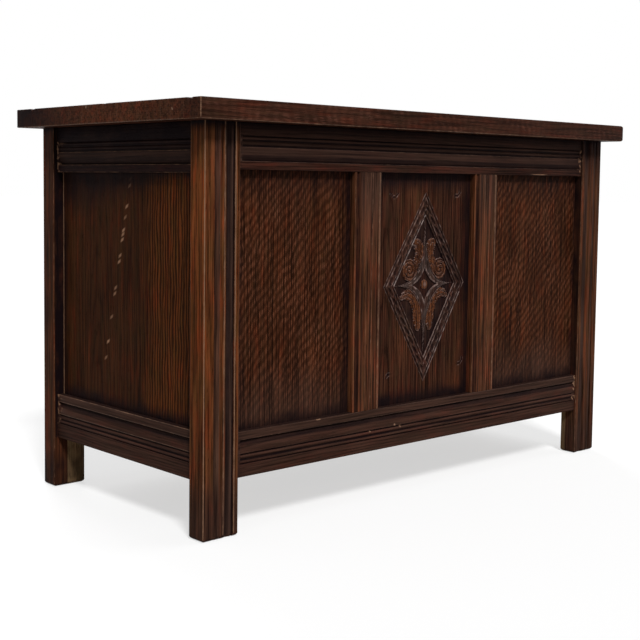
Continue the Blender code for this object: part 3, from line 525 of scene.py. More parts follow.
def make_materials():
    """Every finish of the chest, by name."""
    finish = bpy.context.scene.chest_finish
    groups = {
        "grain": oak_grain_group(), "fleck": ray_fleck_group(), "row": spot_row_group(),
        "patina": patina_group(),
    }
    bare = {"wander": 0.04, "rings": 0.18, "strands": 0.35, "drift": 0.15, "gloss": 0.6}
    oaks = (
        Oak("post_oak", finish.post, 0.0030, 0.05, warm=0.6, wander=0.02, rings=0.3, strands=1.4,
            fineness=1.1, lines=0.10),
        Oak("rail_oak", finish.frame, 0.0032, 0.03, wander=0.03, rings=0.3, strands=0.8),
        Oak("muntin_oak", finish.muntin, 0.0028, 0.02, warm=0.35, rings=0.4, strands=1.4, pitch=0.0060,
            lines=0.22),
        Oak("quartered_oak", finish.panel, 0.0026, 0.50, fleck=1.0, slope=1.1, warm=0.4, rings=0.2,
            strands=1.0, lines=0.34),
        Oak("carved_oak", finish.carved, 0.0045, 0.012, tilt=0.045, wander=0.04, warm=0.6, rings=0.20,
            strands=1.2, lines=0.28, dust=finish.dust),
        Oak("end_panel_oak", finish.end_panel, 0.0052, 0.008, tilt=0.085, wander=0.045, row=0.9,
            rings=0.12, strands=0.80, fineness=0.9, pitch=0.0066, lines=0.0, warm_lines=0.90),
        Oak("lid_oak", finish.lid, 0.0030, 0.030, tilt=0.05, wander=0.05, fleck=0.30, rings=0.10,
            strands=0.28, lines=0.05),
        Oak("bare_oak", finish.raw, 0.0040, tilt=0.08, **bare),
        Oak("bare_board_oak", finish.raw, 0.0045, tilt=0.08, axes="XZY", **bare),
        Oak("bare_rail_oak", finish.raw, 0.0040, tilt=0.05, axes="ZYX", **bare),
    )
    made = {settings.name: oak_material(settings, groups) for settings in oaks}
    made["brass"] = metal_material("brass", tuple(finish.brass), 0.32)
    made["steel"] = metal_material("steel", tuple(finish.steel), 0.38)
    return made


def material_named(name):
    found = bpy.data.materials.get(name)
    if found is None:
        raise RuntimeError(f"the finishes come first: there is no material {name}")
    return found


# Meshes


def board_mesh(low, high):
    bm = bmesh.new()
    bmesh.ops.create_cube(bm, size=1.0)
    bmesh.ops.scale(bm, vec=high - low, verts=bm.verts[:])
    bmesh.ops.translate(bm, vec=(low + high) / 2, verts=bm.verts[:])
    return bm


def round_edges(bm, edges, radius, segments=3):
    bmesh.ops.bevel(
        bm, geom=edges, offset=radius, offset_type="OFFSET", segments=segments, profile=0.5,
        affect="EDGES", material=-1, clamp_overlap=True,
    )


def edges_along(bm, axis, least=FIT):
    """The edges that run further than a length along an axis."""
    return [edge for edge in bm.edges if abs(edge.verts[0].co[axis] - edge.verts[1].co[axis]) > least]


def slice_mesh(bm, axis, places):
    """Adds a loop round the mesh at each place along an axis."""
    normal = Vector((0.0, 0.0, 0.0))
    normal[axis] = 1.0
    for place in sorted(set(places)):
        bmesh.ops.bisect_plane(
            bm, geom=bm.verts[:] + bm.edges[:] + bm.faces[:], dist=SAME_PLACE,
            plane_co=normal * place, plane_no=normal,
        )


def spaced(low, high, step):
    """Even places strictly between two ends."""
    count = max(1, round((high - low) / step))
    return [low + (high - low) * number / count for number in range(1, count)]


def of_kind(items, kind):
    return [item for item in items if isinstance(item, kind)]


def sink(bm, faces, way):
    """Pushes a patch of faces into the mesh, with walls round it."""
    made = bmesh.ops.extrude_face_region(bm, geom=faces)["geom"]
    bmesh.ops.translate(bm, vec=way, verts=of_kind(made, bmesh.types.BMVert))
    bmesh.ops.delete(bm, geom=faces, context="FACES")


def clamped(value):
    return max(0.0, min(1.0, value))


def eased(value, low, high):
    """A smooth step from 0 at low to 1 at high."""
    at = clamped((value - low) / (high - low))
    return at * at * (3.0 - 2.0 * at)


BOARD_LENGTH = 1.93


class Marks:
    """Per-vertex wear with some painted highlights, dirt with painted shade, and stain with some painted
    sheen, on a mesh in the making, with each point's place in its board.
    """

    def __init__(self, bm, seed, axes, heart=0.0, face=0.0):
        layers = bm.verts.layers.float
        self.bm = bm
        self.wear = layers.new("wear")
        # The dirt layer holds old wax and also painted shade.
        self.dirt = layers.new("dirt")
        self.leaf = layers.new("leaf")
        self.cool = layers.new("cool")
        self.warm = layers.new("warm")
        grain = bm.verts.layers.float_vector.new("grain")
        across, into, along = axes
        for vert in bm.verts:
            place = vert.co[across] - heart, vert.co[into] - face, vert.co[along] + seed * BOARD_LENGTH
            vert[grain] = Vector(place)

    def rub_arrises(self, low, high, reach=WEAR_REACH, strength=1.0):
        """Wear on the edges of the box between two corners."""
        for vert in self.bm.verts:
            inside = sorted(min(vert.co[axis] - low[axis], high[axis] - vert.co[axis]) for axis in range(3))
            rubbed = clamped(1.0 - inside[1] / reach) * strength
            vert[self.wear] = max(vert[self.wear], rubbed)

    def rub(self, wear_of):
        for vert in self.bm.verts:
            vert[self.wear] = max(vert[self.wear], wear_of(vert.co))

    # Darkens each vertex at least to the given amount: dirt, and painted shade where a caller gives it.
    def soil_and_shade(self, darkness_of):
        for vert in self.bm.verts:
            vert[self.dirt] = max(vert[self.dirt], darkness_of(vert.co))

    def stain(self, layer, amount_of):
        for vert in self.bm.verts:
            vert[layer] = clamped(amount_of(vert.co))


def finished_piece(bm, name, body, nodes, materials, placing=None):
    """The object for a mesh, riding on its body in place of its nodes."""
    if placing is not None:
        bmesh.ops.transform(bm, matrix=placing, verts=bm.verts[:])
    bmesh.ops.recalc_face_normals(bm, faces=bm.faces[:])
    mesh = bpy.data.meshes.new(name)
    bm.to_mesh(mesh)
    bm.free()
    for material in materials:
        mesh.materials.append(material_named(material))
    mesh.shade_smooth()
    mesh.set_sharp_from_angle(angle=SMOOTH_ANGLE)
    made = bpy.data.objects.new(name, mesh)
    bpy.context.scene.collection.objects.link(made)
    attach(made, body)
    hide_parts(*nodes)
    return made


def frame_piece(bm, name, oak, placing=None):
    finished_piece(bm, "oak_" + name, CARCASE, [name], (oak, "bare_oak"), placing)


def panel_piece(bm, name, oak, placing):
    finished_piece(bm, "oak_" + name, CARCASE, [name], (oak, "bare_oak"), placing)


# Moulding lines: points (across, depth) from the edge beside the panel


def member(start, width, depth_of, steps=7):
    return [(start + width * step / steps, depth_of(step / steps)) for step in range(steps + 1)]


def flat(start, width, depth=0.0, near=0.0008):
    """A flat member with points close to its arrises, so that wear stays beside them."""
    places = [0.0, near, near * 3, width / 2, width - near * 3, width - near, width]
    return [(start + place, depth) for place in sorted(places)]


def reed(start, width, depth, quirk, far=None):
    """A round between two quirks, whose depth beyond its crest may differ."""
    beyond = depth if far is None else far
    return member(
        start + quirk, width - quirk * 2,
        lambda at: (depth if at < 0.5 else beyond) * (1.0 - math.sin(math.pi * at) ** 0.7), 9,
    )


def joined(*members):
    """One moulding line from its members, without points that meet."""
    line = []
    for points in members:
        for point in points:
            if not line or point[0] - line[-1][0] > SAME_PLACE:
                line.append(point)
    return line


RAIL_FLAT_STEPS = (0.0, 0.0012, 0.0026)
POST_FLAT_STEPS = (0.0, 0.0008, 0.0024)


def rail_line():
    sizes = bpy.context.scene.chest_moulding
    quirk = sizes.quirk
    groove = sizes.reed_depth
    ovolo = sizes.rail_fillet + quirk
    inner = ovolo + sizes.rail_ovolo + sizes.rail_groove
    outer = inner + sizes.rail_inner_bead + sizes.rail_groove
    end = outer + sizes.rail_outer_bead
    return joined(
        flat(0.0, sizes.rail_fillet),
        [(ovolo, sizes.rail_depth)],
        member(ovolo + quirk, sizes.rail_ovolo - quirk * 2,
               lambda at: sizes.rail_depth * (1.0 - math.sin(math.pi / 2 * at) ** 0.8), 11),
        [(ovolo + sizes.rail_ovolo, groove)],
        member(inner - quirk, sizes.rail_inner_bead + quirk * 2,
               lambda at: groove * (1.0 - math.sin(math.pi * at)), 6),
        [(outer - quirk, groove)],
        member(outer, sizes.rail_outer_bead, lambda at: groove * (1.0 - math.sin(math.pi * at) ** 0.7), 8),
        [(end + quirk, groove * 0.8)] + [(end + quirk * 2 + step, 0.0) for step in RAIL_FLAT_STEPS],
    )


def post_line():
    sizes = bpy.context.scene.chest_moulding
    quirk = sizes.quirk
    groove = sizes.post_fillet
    bead = groove + sizes.post_groove
    hollow = bead + sizes.post_bead
    inner = hollow + sizes.post_hollow
    outer = inner + sizes.post_inner_reed
    end = outer + sizes.post_outer_reed
    step = sizes.reed_depth
    return joined(
        flat(0.0, groove),
        member(groove + quirk, sizes.post_groove - quirk, lambda at: step * (1.15 - 0.15 * at), 2),
        member(bead, sizes.post_bead, lambda at: step * (1.0 - 0.45 * math.sin(math.pi * at))),
        member(hollow, sizes.post_hollow,
               lambda at: step + (sizes.post_hollow_depth - step) * math.sin(math.pi * at) ** 0.7, 9),
        reed(inner, sizes.post_inner_reed, step, quirk, step * 0.4),
        reed(outer, sizes.post_outer_reed, step * 0.4, quirk, step),
        [(end, step)] + [(end + quirk + beyond, 0.0) for beyond in POST_FLAT_STEPS],
    )


def muntin_line(width):
    sizes = bpy.context.scene.chest_moulding
    quirk = sizes.quirk
    hollow = sizes.muntin_fillet
    side_reed = hollow + sizes.muntin_hollow
    middle = side_reed + sizes.muntin_reed
    half = width / 2
    step = sizes.muntin_groove
    left = joined(
        flat(0.0, hollow),
        member(hollow + quirk, sizes.muntin_hollow - quirk,
               lambda at: step + (sizes.muntin_hollow_depth - step) * math.sin(math.pi * at) ** 0.7),
        reed(side_reed, sizes.muntin_reed, step, quirk),
        member(middle + quirk, half - middle - quirk,
               lambda at: step * (1.0 - math.sin(math.pi / 2 * at) ** 0.7)),
    )
    shallow = 0.35
    shares = [shallow if across < side_reed else 1.0 for across, depth in left]
    return left + [
        (width - across, depth * share) for (across, depth), share in reversed(list(zip(left, shares))[:-1])
    ]


def bump_at(across, middle, reach):
    """1 at the middle and 0 from the reach on."""
    return clamped(1.0 - abs(across - middle) / reach)


def rubbed_crests(across, crests):
    """The wear across a face with crests, each a middle, a reach and a strength."""
    return max(strength * bump_at(across, middle, reach) for middle, reach, strength in crests)


def depth_at(line, across):
    """The depth of a moulding line at a distance across it, and 0 outside it."""
    if across <= line[0][0] or across >= line[-1][0]:
        return 0.0
    for (before, start), (after, end) in zip(line, line[1:]):
        if across <= after:
            return start + (end - start) * (across - before) / (after - before)
    return 0.0


def relief_at(line, across, reach):
    """How far the moulding stands proud of its own neighbourhood."""
    return (depth_at(line, across - reach) + depth_at(line, across + reach)) / 2 - depth_at(line, across)


def press_moulding(marks, face, line, across_of, amount_of, cool_of=None, rubbed=0.9, grime=1.0):
    """Cuts a moulding line into the face of a mesh that lies at a depth, and marks its wear and dirt."""
    crest_reach, crest_rise = 0.0009, 0.0008
    pit_reach, pit_fall = 0.0020, 0.0010
    dirtiest, line_end = 0.0060, 0.0035
    for vert in marks.bm.verts:
        if vert.co.y > face + SAME_PLACE * 10:
            continue
        across, amount = across_of(vert.co), amount_of(vert.co)
        depth = depth_at(line, across) * amount
        crest = clamped(relief_at(line, across, crest_reach) * amount / crest_rise)
        pit = clamped(-relief_at(line, across, pit_reach) * amount / pit_fall)
        proud = rubbed if across < line[-1][0] - line_end else rubbed / 2
        dirt = clamped(pit * 0.75 + clamped(depth / dirtiest) * 0.40) * grime
        vert[marks.wear] = max(vert[marks.wear], crest * proud)
        vert[marks.dirt] = max(vert[marks.dirt], dirt)
        if cool_of:
            vert[marks.cool] = max(vert[marks.cool], cool_of(across) * amount)
        vert.co.y += depth


class Side:
    """One side of the carcase, in places across it, into it and up it, as seen from outside."""

    def __init__(self, name, turns, left_post, right_post):
        low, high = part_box("front_left_post")[0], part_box("rear_right_post")[1]
        reach = (high.y - low.y) / 2 if turns % 2 == 0 else (high.x - low.x) / 2
        middle = Vector((0.0, (low.y + high.y) / 2, 0.0))
        self.name = name
        self.placing = (
            Matrix.Translation(middle) @ Matrix.Rotation(turns * math.pi / 2, 4, "Z")
            @ Matrix.Translation((0.0, -reach, 0.0))
        )
        self.left = self.box(left_post)[1].x
        self.right = self.box(right_post)[0].x

    def box(self, node):
        """A node's corners on this side."""
        back = self.placing.inverted()
        ends = [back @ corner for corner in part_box(node)]
        low = Vector([min(end[axis] for end in ends) for axis in range(3)])
        high = Vector([max(end[axis] for end in ends) for axis in range(3)])
        return low, high

    @property
    def opening(self):
        """The lowest and highest place of the panels that show between the rails."""
        return self.box(f"{self.name}_bottom_rail")[1].z, self.box(f"{self.name}_top_rail")[0].z


def side_named(name):
    turns, left_post, right_post = {
        "front": (0, "front_left_post", "front_right_post"),
        "right": (1, "front_right_post", "rear_right_post"),
        "rear": (2, "rear_right_post", "rear_left_post"),
        "left": (3, "rear_left_post", "front_left_post"),
    }[name]
    return Side(name, turns, left_post, right_post)


def bare_inside(bm):
    """Gives the faces that point into the chest the second material."""
    for face in bm.faces:
        if face.normal.y > 0.9:
            face.material_index = 1


# Posts, rails, muntins and plain panels


FACE_DEPTH = 0.0020
FACE_REACH = 0.0015
WALL_REACH = 0.0008
RAIL_END = 0.012
INNER_DIRT = 0.10
# Dark wax and painted shade on the hidden and recessed sides of rails and muntins, beside the panels and
# under the lid.
SIDE_DIRT_AND_SHADE = 0.65
MOULDING_HEIGHT = 0.049
TORN_HEIGHT = 0.050
STOP_STEP = 0.0008

# Each chip's place along and up its rail, half its length and half its height
CHIPS = {
    "front_top_rail": ((0.2850, 0.5341, 0.0280, 0.0008),),
    "front_bottom_rail": (
        (-0.2560, 0.1504, 0.0060, 0.0013), (-0.1406, 0.1164, 0.0024, 0.0016),
        (-0.0849, 0.1206, 0.0026, 0.0026), (-0.0705, 0.1170, 0.0020, 0.0030),
    ),
}


class Rail:
    """A rail between two posts, and the edge beside the panels from which its moulding runs."""

    def __init__(self, side, level, seed):
        self.side = side
        self.level = level
        self.seed = seed
        self.sizes = bpy.context.scene.chest_moulding
        self.name = f"{side.name}_{level}_rail"
        self.low, self.high = side.box(self.name)
        self.low.x, self.high.x = side.left + FIT, side.right - FIT
        self.edge, self.way = (self.low.z, 1) if level == "top" else (self.high.z, -1)
        self.chips = CHIPS.get(self.name, ())

    def across(self, place):
        return (place.z - self.edge) * self.way

    def mesh(self, line):
        """Its board, with mesh lines along the moulding, at the moulding's stops and round the chips."""
        low, high = self.low, self.high
        bm = board_mesh(low, high)
        round_edges(bm, edges_along(bm, 0), self.sizes.arris)
        ends = []
        if line:
            slice_mesh(bm, 2, [self.edge + self.way * across for across, depth in line[1:]])
            ends = [self.sizes.stop * 0.55 + STOP_STEP * step for step in range(9)]
        slice_mesh(bm, 1, [low.y + FACE_DEPTH])
        slice_mesh(bm, 0, [low.x + place for place in ends] + [high.x - place for place in ends])
        along, upward = (-1.0, -0.5, 0.0, 0.5, 1.0), (-1.0, 0.0, 1.0)
        slice_mesh(bm, 0, [x + reach * step for x, z, reach, height in self.chips for step in along])
        slice_mesh(bm, 2, [z + height * step for x, z, reach, height in self.chips for step in upward])
        slice_mesh(bm, 0, spaced(low.x + RAIL_END, high.x - RAIL_END, MESH_STEP))
        return bm

    def amount(self, place):
        """1 along the moulding and 0 beyond its uneven stops."""
        wobble = noise.noise(Vector((place.x * 40, place.z * 260, self.seed))) * 0.0016
        inside = min(place.x - self.low.x, self.high.x - place.x) - self.sizes.stop - wobble
        return clamped(inside / 0.0010 + 0.5)

    def dirt(self, place):
        """Dark wax and painted shade at the ends; painted shadow of the lid over the top rails, reaching
        furthest on the other sides and darkest on their flats, and on the front rail growing towards the
        right; a little darker along the bottom rail's round.
        """
        low, high = self.low, self.high
        if place.y > low.y + FACE_REACH:
            return INNER_DIRT if place.y > high.y - FIT else SIDE_DIRT_AND_SHADE
        # Dark wax and painted shade at the ends beside the posts.
        corner = clamped(1.0 - min(place.x - low.x, high.x - place.x) / 0.016) * 0.35
        reach = 0.016 if self.side.name == "front" else 0.060
        # Painted shadow of the lid's overhang along the top rails, reaching further down the end rails.
        painted_lid_shadow = clamped(1.0 - (high.z - place.z) / reach) * 0.95 if self.level == "top" else 0.0
        across = self.across(place)
        if self.level == "bottom":
            darker = 0.10 * bump_at(across, 0.0215, 0.0070)
        # Painted shade under the lid on the top rails: on the front one more towards the right, on the
        # others most over the flat and least on the round's crest.
        elif self.side.name == "front":
            darker = max(0.18, 0.50 * eased(place.x, high.x - 0.130, high.x - 0.020))
        elif across > MOULDING_HEIGHT:
            darker = 0.90
        else:
            darker = 0.74 - 0.55 * bump_at(across, 0.0275, 0.0065)
        return max(corner, painted_lid_shadow, darker)

    def torn(self, place):
        """Rough, pale wood where the moulding was stopped, mostly at one end, and small chips."""
        low, high = self.low, self.high
        moulded = place.y < low.y + FIT and abs(place.z - self.edge) < TORN_HEIGHT
        if not moulded:
            return 0.0
        right = place.x > (low.x + high.x) / 2
        inside = (high.x - place.x) if right else (place.x - low.x)
        share = 1.3 if right == (self.side.name == "front") else 0.5
        rough = noise.noise(Vector((place.x * 300, place.z * 210, self.seed)))
        wear = clamped((rough * 2.0 + 0.3) * clamped(1.4 - inside / 0.009)) * share
        for x, z, reach, height in self.chips:
            away = math.hypot((place.x - x) / reach, (place.z - z) / height)
            wear = max(wear, 1.4 * clamped(1.5 - 1.2 * away))
        return wear

    def greyness(self, place):
        """Greyer colour on the moulded members: grey wax, with painted sheen on the rounds."""
        across = self.across(place)
        if self.level == "bottom":
            return 0.75 if across < 0.014 else 0.45
        if across < 0.012:
            return 0.0
        return 0.75 if across < MOULDING_HEIGHT else 0.6


def make_rail(side, level, seed):
    """A rail, moulded on every side but the back."""
    rail = Rail(side, level, seed)
    at_front = side.name == "front"
    line = rail_line() if side.name != "rear" else None
    bm = rail.mesh(line)
    marks = Marks(bm, seed, (2, 1, 0), (rail.low.z + rail.high.z) / 2, rail.low.y)
    below = Vector((1.0, 0.0, level == "bottom"))
    above = Vector((1.0, 0.0, level == "top"))
    marks.rub_arrises(rail.low - below, rail.high + above, 0.0022, 0.55 if at_front else 0.85)
    if line:
        marks.rub(rail.torn)
        press_moulding(marks, rail.low.y, line, rail.across, rail.amount, rubbed=0.55 if at_front else 0.8)
    marks.soil_and_shade(rail.dirt)
    marks.stain(marks.cool, rail.greyness)
    bare_inside(bm)
    frame_piece(bm, rail.name, "rail_oak", side.placing)


def mark_muntin(marks, low, high):
    """Painted shade down a muntin's left side, greyer wax towards its top, and rubbed crests that also
    stand for painted highlights.
    """
    sizes = bpy.context.scene.chest_moulding
    hollow = sizes.muntin_fillet + sizes.muntin_hollow
    front_face = low.y + sizes.muntin_hollow_depth + FIT
    # Rubbed crests, whose pale colour also stands for painted highlights on the edges that face the light.
    crests = (
        (low.x + 0.0260, 0.0040, 0.45), (low.x + 0.0390, 0.0022, 0.60), (high.x - 0.0030, 0.0042, 0.70)
    )

    def greyness(place):
        return 0.15 + 0.60 * eased(place.z, 0.38, 0.52) * eased(place.x, low.x + 0.010, low.x + 0.014)

    def wax(place):
        """Dark down the left side, lighter over the reed and on two crests further right."""
        if place.y >= front_face:
            return 0.0
        across = place.x - low.x
        beside_edge = eased(across, 0.0010, 0.0030)
        # Painted shade down the left side, where the left wall shades the hollow beside it.
        left_side_shade = 0.62 * beside_edge * (1.0 - eased(across, hollow, hollow + 0.0025))
        reed_wax = 0.34 * (1.0 - eased(across, hollow + 0.0070, hollow + 0.0105)) * beside_edge
        crest_wax = max(0.24 * bump_at(across, 0.0335, 0.0040), 0.20 * bump_at(across, 0.0480, 0.0060))
        return max(left_side_shade, reed_wax, crest_wax)

    marks.stain(marks.cool, greyness)
    marks.soil_and_shade(wax)
    marks.rub(lambda place: rubbed_crests(place.x, crests) if place.y < front_face else 0.0)


def make_muntin(side, name, seed):
    """A muntin between two panels, moulded at the front."""
    sizes = bpy.context.scene.chest_moulding
    low, high = side.box(name)
    low.z, high.z = side.opening[0] + FIT, side.opening[1] - FIT
    front_face = low.y + sizes.muntin_hollow_depth + FIT
    bm = board_mesh(low, high)
    round_edges(bm, edges_along(bm, 2), sizes.arris)
    line = muntin_line(high.x - low.x) if side.name != "rear" else None
    if line:
        slice_mesh(bm, 0, [low.x + across for across, depth in line[1:-1]])
    slice_mesh(bm, 1, [low.y + FACE_DEPTH])
    slice_mesh(bm, 2, [low.z + 0.004, high.z - 0.004] + spaced(low.z, high.z, MESH_STEP))
    marks = Marks(bm, seed, (0, 1, 2), (low.x + high.x) / 2, low.y)
    marks.rub_arrises(low - UP, high + UP, 0.0016, 0.85)
    if line:
        press_moulding(marks, low.y, line, lambda place: place.x - low.x, lambda place: 1.0, rubbed=0.35)
        mark_muntin(marks, low, high)

    def dirt(place):
        if place.y > front_face:
            return INNER_DIRT if place.y > high.y - FIT else SIDE_DIRT_AND_SHADE
        # Darker towards the ends, where the muntin meets the rails: dark wax and painted shade.
        return clamped(1.0 - min(place.z - low.z, high.z - place.z) / 0.012) * 0.25

    marks.soil_and_shade(dirt)
    bare_inside(bm)
    frame_piece(bm, name, "muntin_oak", side.placing)


def chest_room():
    """The lowest and highest corners of the space that the panels enclose."""
    low = Vector((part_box("left_end_panel")[1].x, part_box("front_left_panel")[1].y, 0.0))
    high = Vector((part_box("right_end_panel")[0].x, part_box("rear_left_panel")[0].y, 0.0))
    return low, high


class Post:
    """A post, and the arris beside the front panels from which its moulding runs."""

    def __init__(self, name):
        sizes = bpy.context.scene.chest_moulding
        self.sizes = sizes
        self.low, self.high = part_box(name)
        if name == "front_right_post":
            self.high.x -= sizes.post_trim
        self.at_left = self.low.x < 0
        self.at_back = self.low.y > 0
        self.inner, self.outer, self.way = (
            (self.high.x, self.low.x, -1) if self.at_left else (self.low.x, self.high.x, 1)
        )
        self.wall_y, self.face_y = (
            (self.low.y, self.high.y) if self.at_back else (self.high.y, self.low.y)
        )
        bottom_low, bottom_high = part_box("front_bottom_rail")
        self.levels = [bottom_low.z, bottom_high.z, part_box("front_top_rail")[0].z]
        self.inner_reed = sizes.post_fillet + sizes.post_groove + sizes.post_bead + sizes.post_hollow
        self.outer_reed = self.inner_reed + sizes.post_inner_reed

    def across(self, place):
        return (place.x - self.inner) * self.way

    def mesh(self, line):
        """Its board with a rounded foot, and mesh lines along the moulding and beside the rails."""
        low, high = self.low, self.high
        bm = board_mesh(low, high)
        under = [edge for edge in bm.edges if max(vert.co.z for vert in edge.verts) < low.z + SAME_PLACE]
        round_edges(bm, under, self.sizes.foot_rounding, 4)
        round_edges(bm, edges_along(bm, 2, (high.z - low.z) / 2), self.sizes.arris)
        if line:
            slice_mesh(bm, 0, [self.inner + self.way * across for across, depth in line[1:]])
        for axis in (0, 1):
            slice_mesh(bm, axis, [low[axis] + WEAR_REACH, high[axis] - WEAR_REACH])
        for axis in (0, 1):
            slice_mesh(bm, axis, [corner[axis] for corner in chest_room()])
        slice_mesh(bm, 2, [level + step for level in self.levels for step in (-0.002, 0.002)])
        near_top = [high.z - step for step in (0.016, 0.008, 0.003)]
        slice_mesh(bm, 2, spaced(low.z + 0.006, near_top[0], MESH_STEP) + near_top)
        return bm

    def crest(self, place):
        """Wear on the corner, the fillet's arris and the crests of the reeds."""
        if place.y >= self.low.y + FIT:
            return 0.0
        crests = (
            (self.sizes.post_fillet - 0.0006, 0.0014, 1.3), (self.high.x - self.low.x, 0.0020, 1.9),
            (self.inner_reed + 0.0042, 0.0036, 0.80), (self.outer_reed + 0.0036, 0.0018, 0.60),
        )
        return (1.0 if self.at_left else 0.35) * rubbed_crests(self.across(place), crests)

    def moulding_grey(self, across):
        """Grey wax in the hollow, and painted sheen over the outer reed."""
        fillet, end = self.sizes.post_fillet, self.outer_reed + self.sizes.post_outer_reed
        hollow = eased(across, fillet, fillet + 0.002)
        hollow *= 1.0 - eased(across, self.inner_reed - 0.001, self.inner_reed + 0.001)
        reeds = eased(across, self.outer_reed + 0.0015, self.outer_reed + 0.0035)
        return max(hollow, reeds * 0.75 * eased(-across, -end, -end + 0.002))

    def dirt(self, place):
        """Dark wax and painted shade where the post's inner walls stand beside a sunk panel, painted shadow
        under the lid and down the top of the right posts, darker all over on the back posts and a little on
        the front right one, and dark at the foot.
        """
        bottom, above_bottom, top = self.levels
        start = bottom if self.at_back else above_bottom
        panelled = eased(place.z, start - 0.002, start + 0.002)
        if not self.at_back:
            panelled *= eased(-place.z, -top - 0.002, -top + 0.002)
        # Dark wax and painted shade on the inner walls beside a sunk panel.
        beside_x = abs(place.x - self.inner) < WALL_REACH and abs(place.y - self.face_y) > FACE_REACH
        beside_y = abs(place.y - self.wall_y) < WALL_REACH and abs(place.x - self.outer) > FACE_REACH
        beside = (0.95 if self.at_back else 0.8) * panelled if beside_x or beside_y else 0.0
        darker_all_over = 0.42 if self.at_back else 0.0 if self.at_left else 0.16
        foot = eased(-place.z, -bottom, -bottom + 0.03) * (0.70 if self.at_back else 0.25)
        # Painted shadow under the lid, and painted shade down the top of the right posts.
        painted_lid_shadow = clamped(1.15 - (self.high.z - place.z) / 0.014)
        painted_right_top_shade = 0.0 if self.at_left else 0.78 * clamped(1.1 - (self.high.z - place.z) / 0.100)
        return max(beside, darker_all_over, painted_lid_shadow, painted_right_top_shade, foot)

    def warmth(self, place):
        """A glow over the middle heights, strongest on the outer side of the left post, where it is painted
        light.
        """
        glow = eased(place.z, 0.14, 0.32) * eased(-place.z, -0.60, -0.44)
        # Painted light on the outer sides, most on the left post's.
        side_face = abs(place.x - self.outer) < 0.0012
        return (glow * (1.0 if side_face else 0.40) + 0.30 * side_face) * (1.0 if self.at_left else 0.4)

    def greyness(self, place):
        """Greyer feet, a painted reflection of the floor, and a right post that is greyer all over."""
        return max(0.65 * eased(-place.z, -0.11, -0.03), 0.0 if self.at_left else 0.25)


def bare_in_room(bm):
    """Gives a post's faces that look into the chest the second material."""
    low, high = chest_room()
    for face in bm.faces:
        before = face.calc_center_median() + face.normal * FIT
        if all(low[axis] < before[axis] < high[axis] for axis in (0, 1)):
            face.material_index = 1


def make_post(name, seed):
    """A post that runs down into its foot, moulded at the front of the chest."""
    post = Post(name)
    low, high, rounding = post.low, post.high, post.sizes.foot_rounding
    line = None if post.at_back else post_line()
    bm = post.mesh(line)
    marks = Marks(bm, seed, (0, 1, 2), (low.x + high.x) / 2, low.y)
    marks.rub_arrises(low, high + UP, 0.0020, 0.80)
    if line:
        marks.rub(post.crest)
        press_moulding(
            marks, low.y + rounding, line, post.across,
            lambda place: clamped(1.0 - (place.y - low.y) / rounding), post.moulding_grey,
            rubbed=0.35, grime=1.0 if post.at_left else 0.4,
        )
        marks.stain(marks.warm, post.warmth)
        for vert in bm.verts:
            vert[marks.cool] = max(vert[marks.cool], post.greyness(vert.co))
    marks.soil_and_shade(post.dirt)
    bare_in_room(bm)
    frame_piece(bm, name, "post_oak")


def edge_tone_and_shade(place, low, high, reaches, strength=0.78, top_share=1.0):
    """Dark toning and painted shade that thicken towards the left, right, bottom and top of a panel, with
    uneven borders; along the top they grow towards the right.
    """
    tongue = 0.006
    ragged = noise.noise(place * 22.0) * 0.008 + noise.noise(place * 70.0) * 0.003
    gaps = (
        place.x - low.x - tongue, high.x - tongue - place.x,
        place.z - low.z - tongue, high.z - tongue - place.z,
    )
    shades = [1.0 - eased(gap + ragged, reach * 0.1, reach * 1.25) for gap, reach in zip(gaps, reaches)]
    across = (place.x - low.x) / (high.x - low.x)
    return strength * max(*shades[:3], shades[3] * min(1.0, top_share + 0.35 * across))


def make_panel(side, name, finish, seed, heart, reaches, glow=0.0):
    """A plain panel, whose dark toning and painted shade reach in from its edges."""
    low, high = side.box(name)
    width = high.x - low.x
    at_end = side.name in ("left", "right")
    edge = side.left + FIT * 2
    edge_step, column, row = 0.0014, 0.006, 0.009
    bm = board_mesh(low, high)
    slice_mesh(bm, 0, [edge + edge_step * step for step in range(5)])
    slice_mesh(bm, 0, spaced(low.x, high.x, column))
    slice_mesh(bm, 2, spaced(low.z, high.z, row))
    marks = Marks(bm, seed, (0, 1, 2), (low.x + high.x) / 2 + heart, low.y)

    # Toning and painted shade from the edges; on the end panels the top band reaches furthest at the left.
    def dirt(place):
        if place.y > low.y + FIT:
            return 0.0
        if not at_end:
            return edge_tone_and_shade(place, low, high, reaches, top_share=0.36)
        sloping = reaches[3] - (reaches[3] - 0.010) * clamped((place.x - low.x) / width * 1.15)
        return edge_tone_and_shade(place, low, high, (*reaches[:3], sloping), 0.86)

    def warmth(place):
        """A warmer stretch towards the right of the panel."""
        return glow * eased((place.x - low.x) / width + noise.noise(place * 12.0) * 0.05, 0.58, 0.72)

    def greyness(place):
        """Greyer along the bottom: a painted reflection of the floor."""
        return 0.60 * (1.0 - eased(place.z - low.z + noise.noise(place * 14.0) * 0.03, 0.02, 0.10))

    marks.soil_and_shade(dirt)
    marks.stain(marks.warm, warmth)
    if side.name == "front":
        marks.stain(marks.cool, greyness)
    if at_end:
        marks.rub(lambda place: 1.1 * clamped(1.3 - abs(place.x - edge - edge_step * 2) / 0.0020))
    bare_inside(bm)
    panel_piece(bm, name, finish, side.placing)


# Carving


def groove_share(distance, width):
    """How much of a groove's depth lies at a distance from its middle."""
    return clamped(1.0 - abs(distance) / (width / 2)) ** 0.8


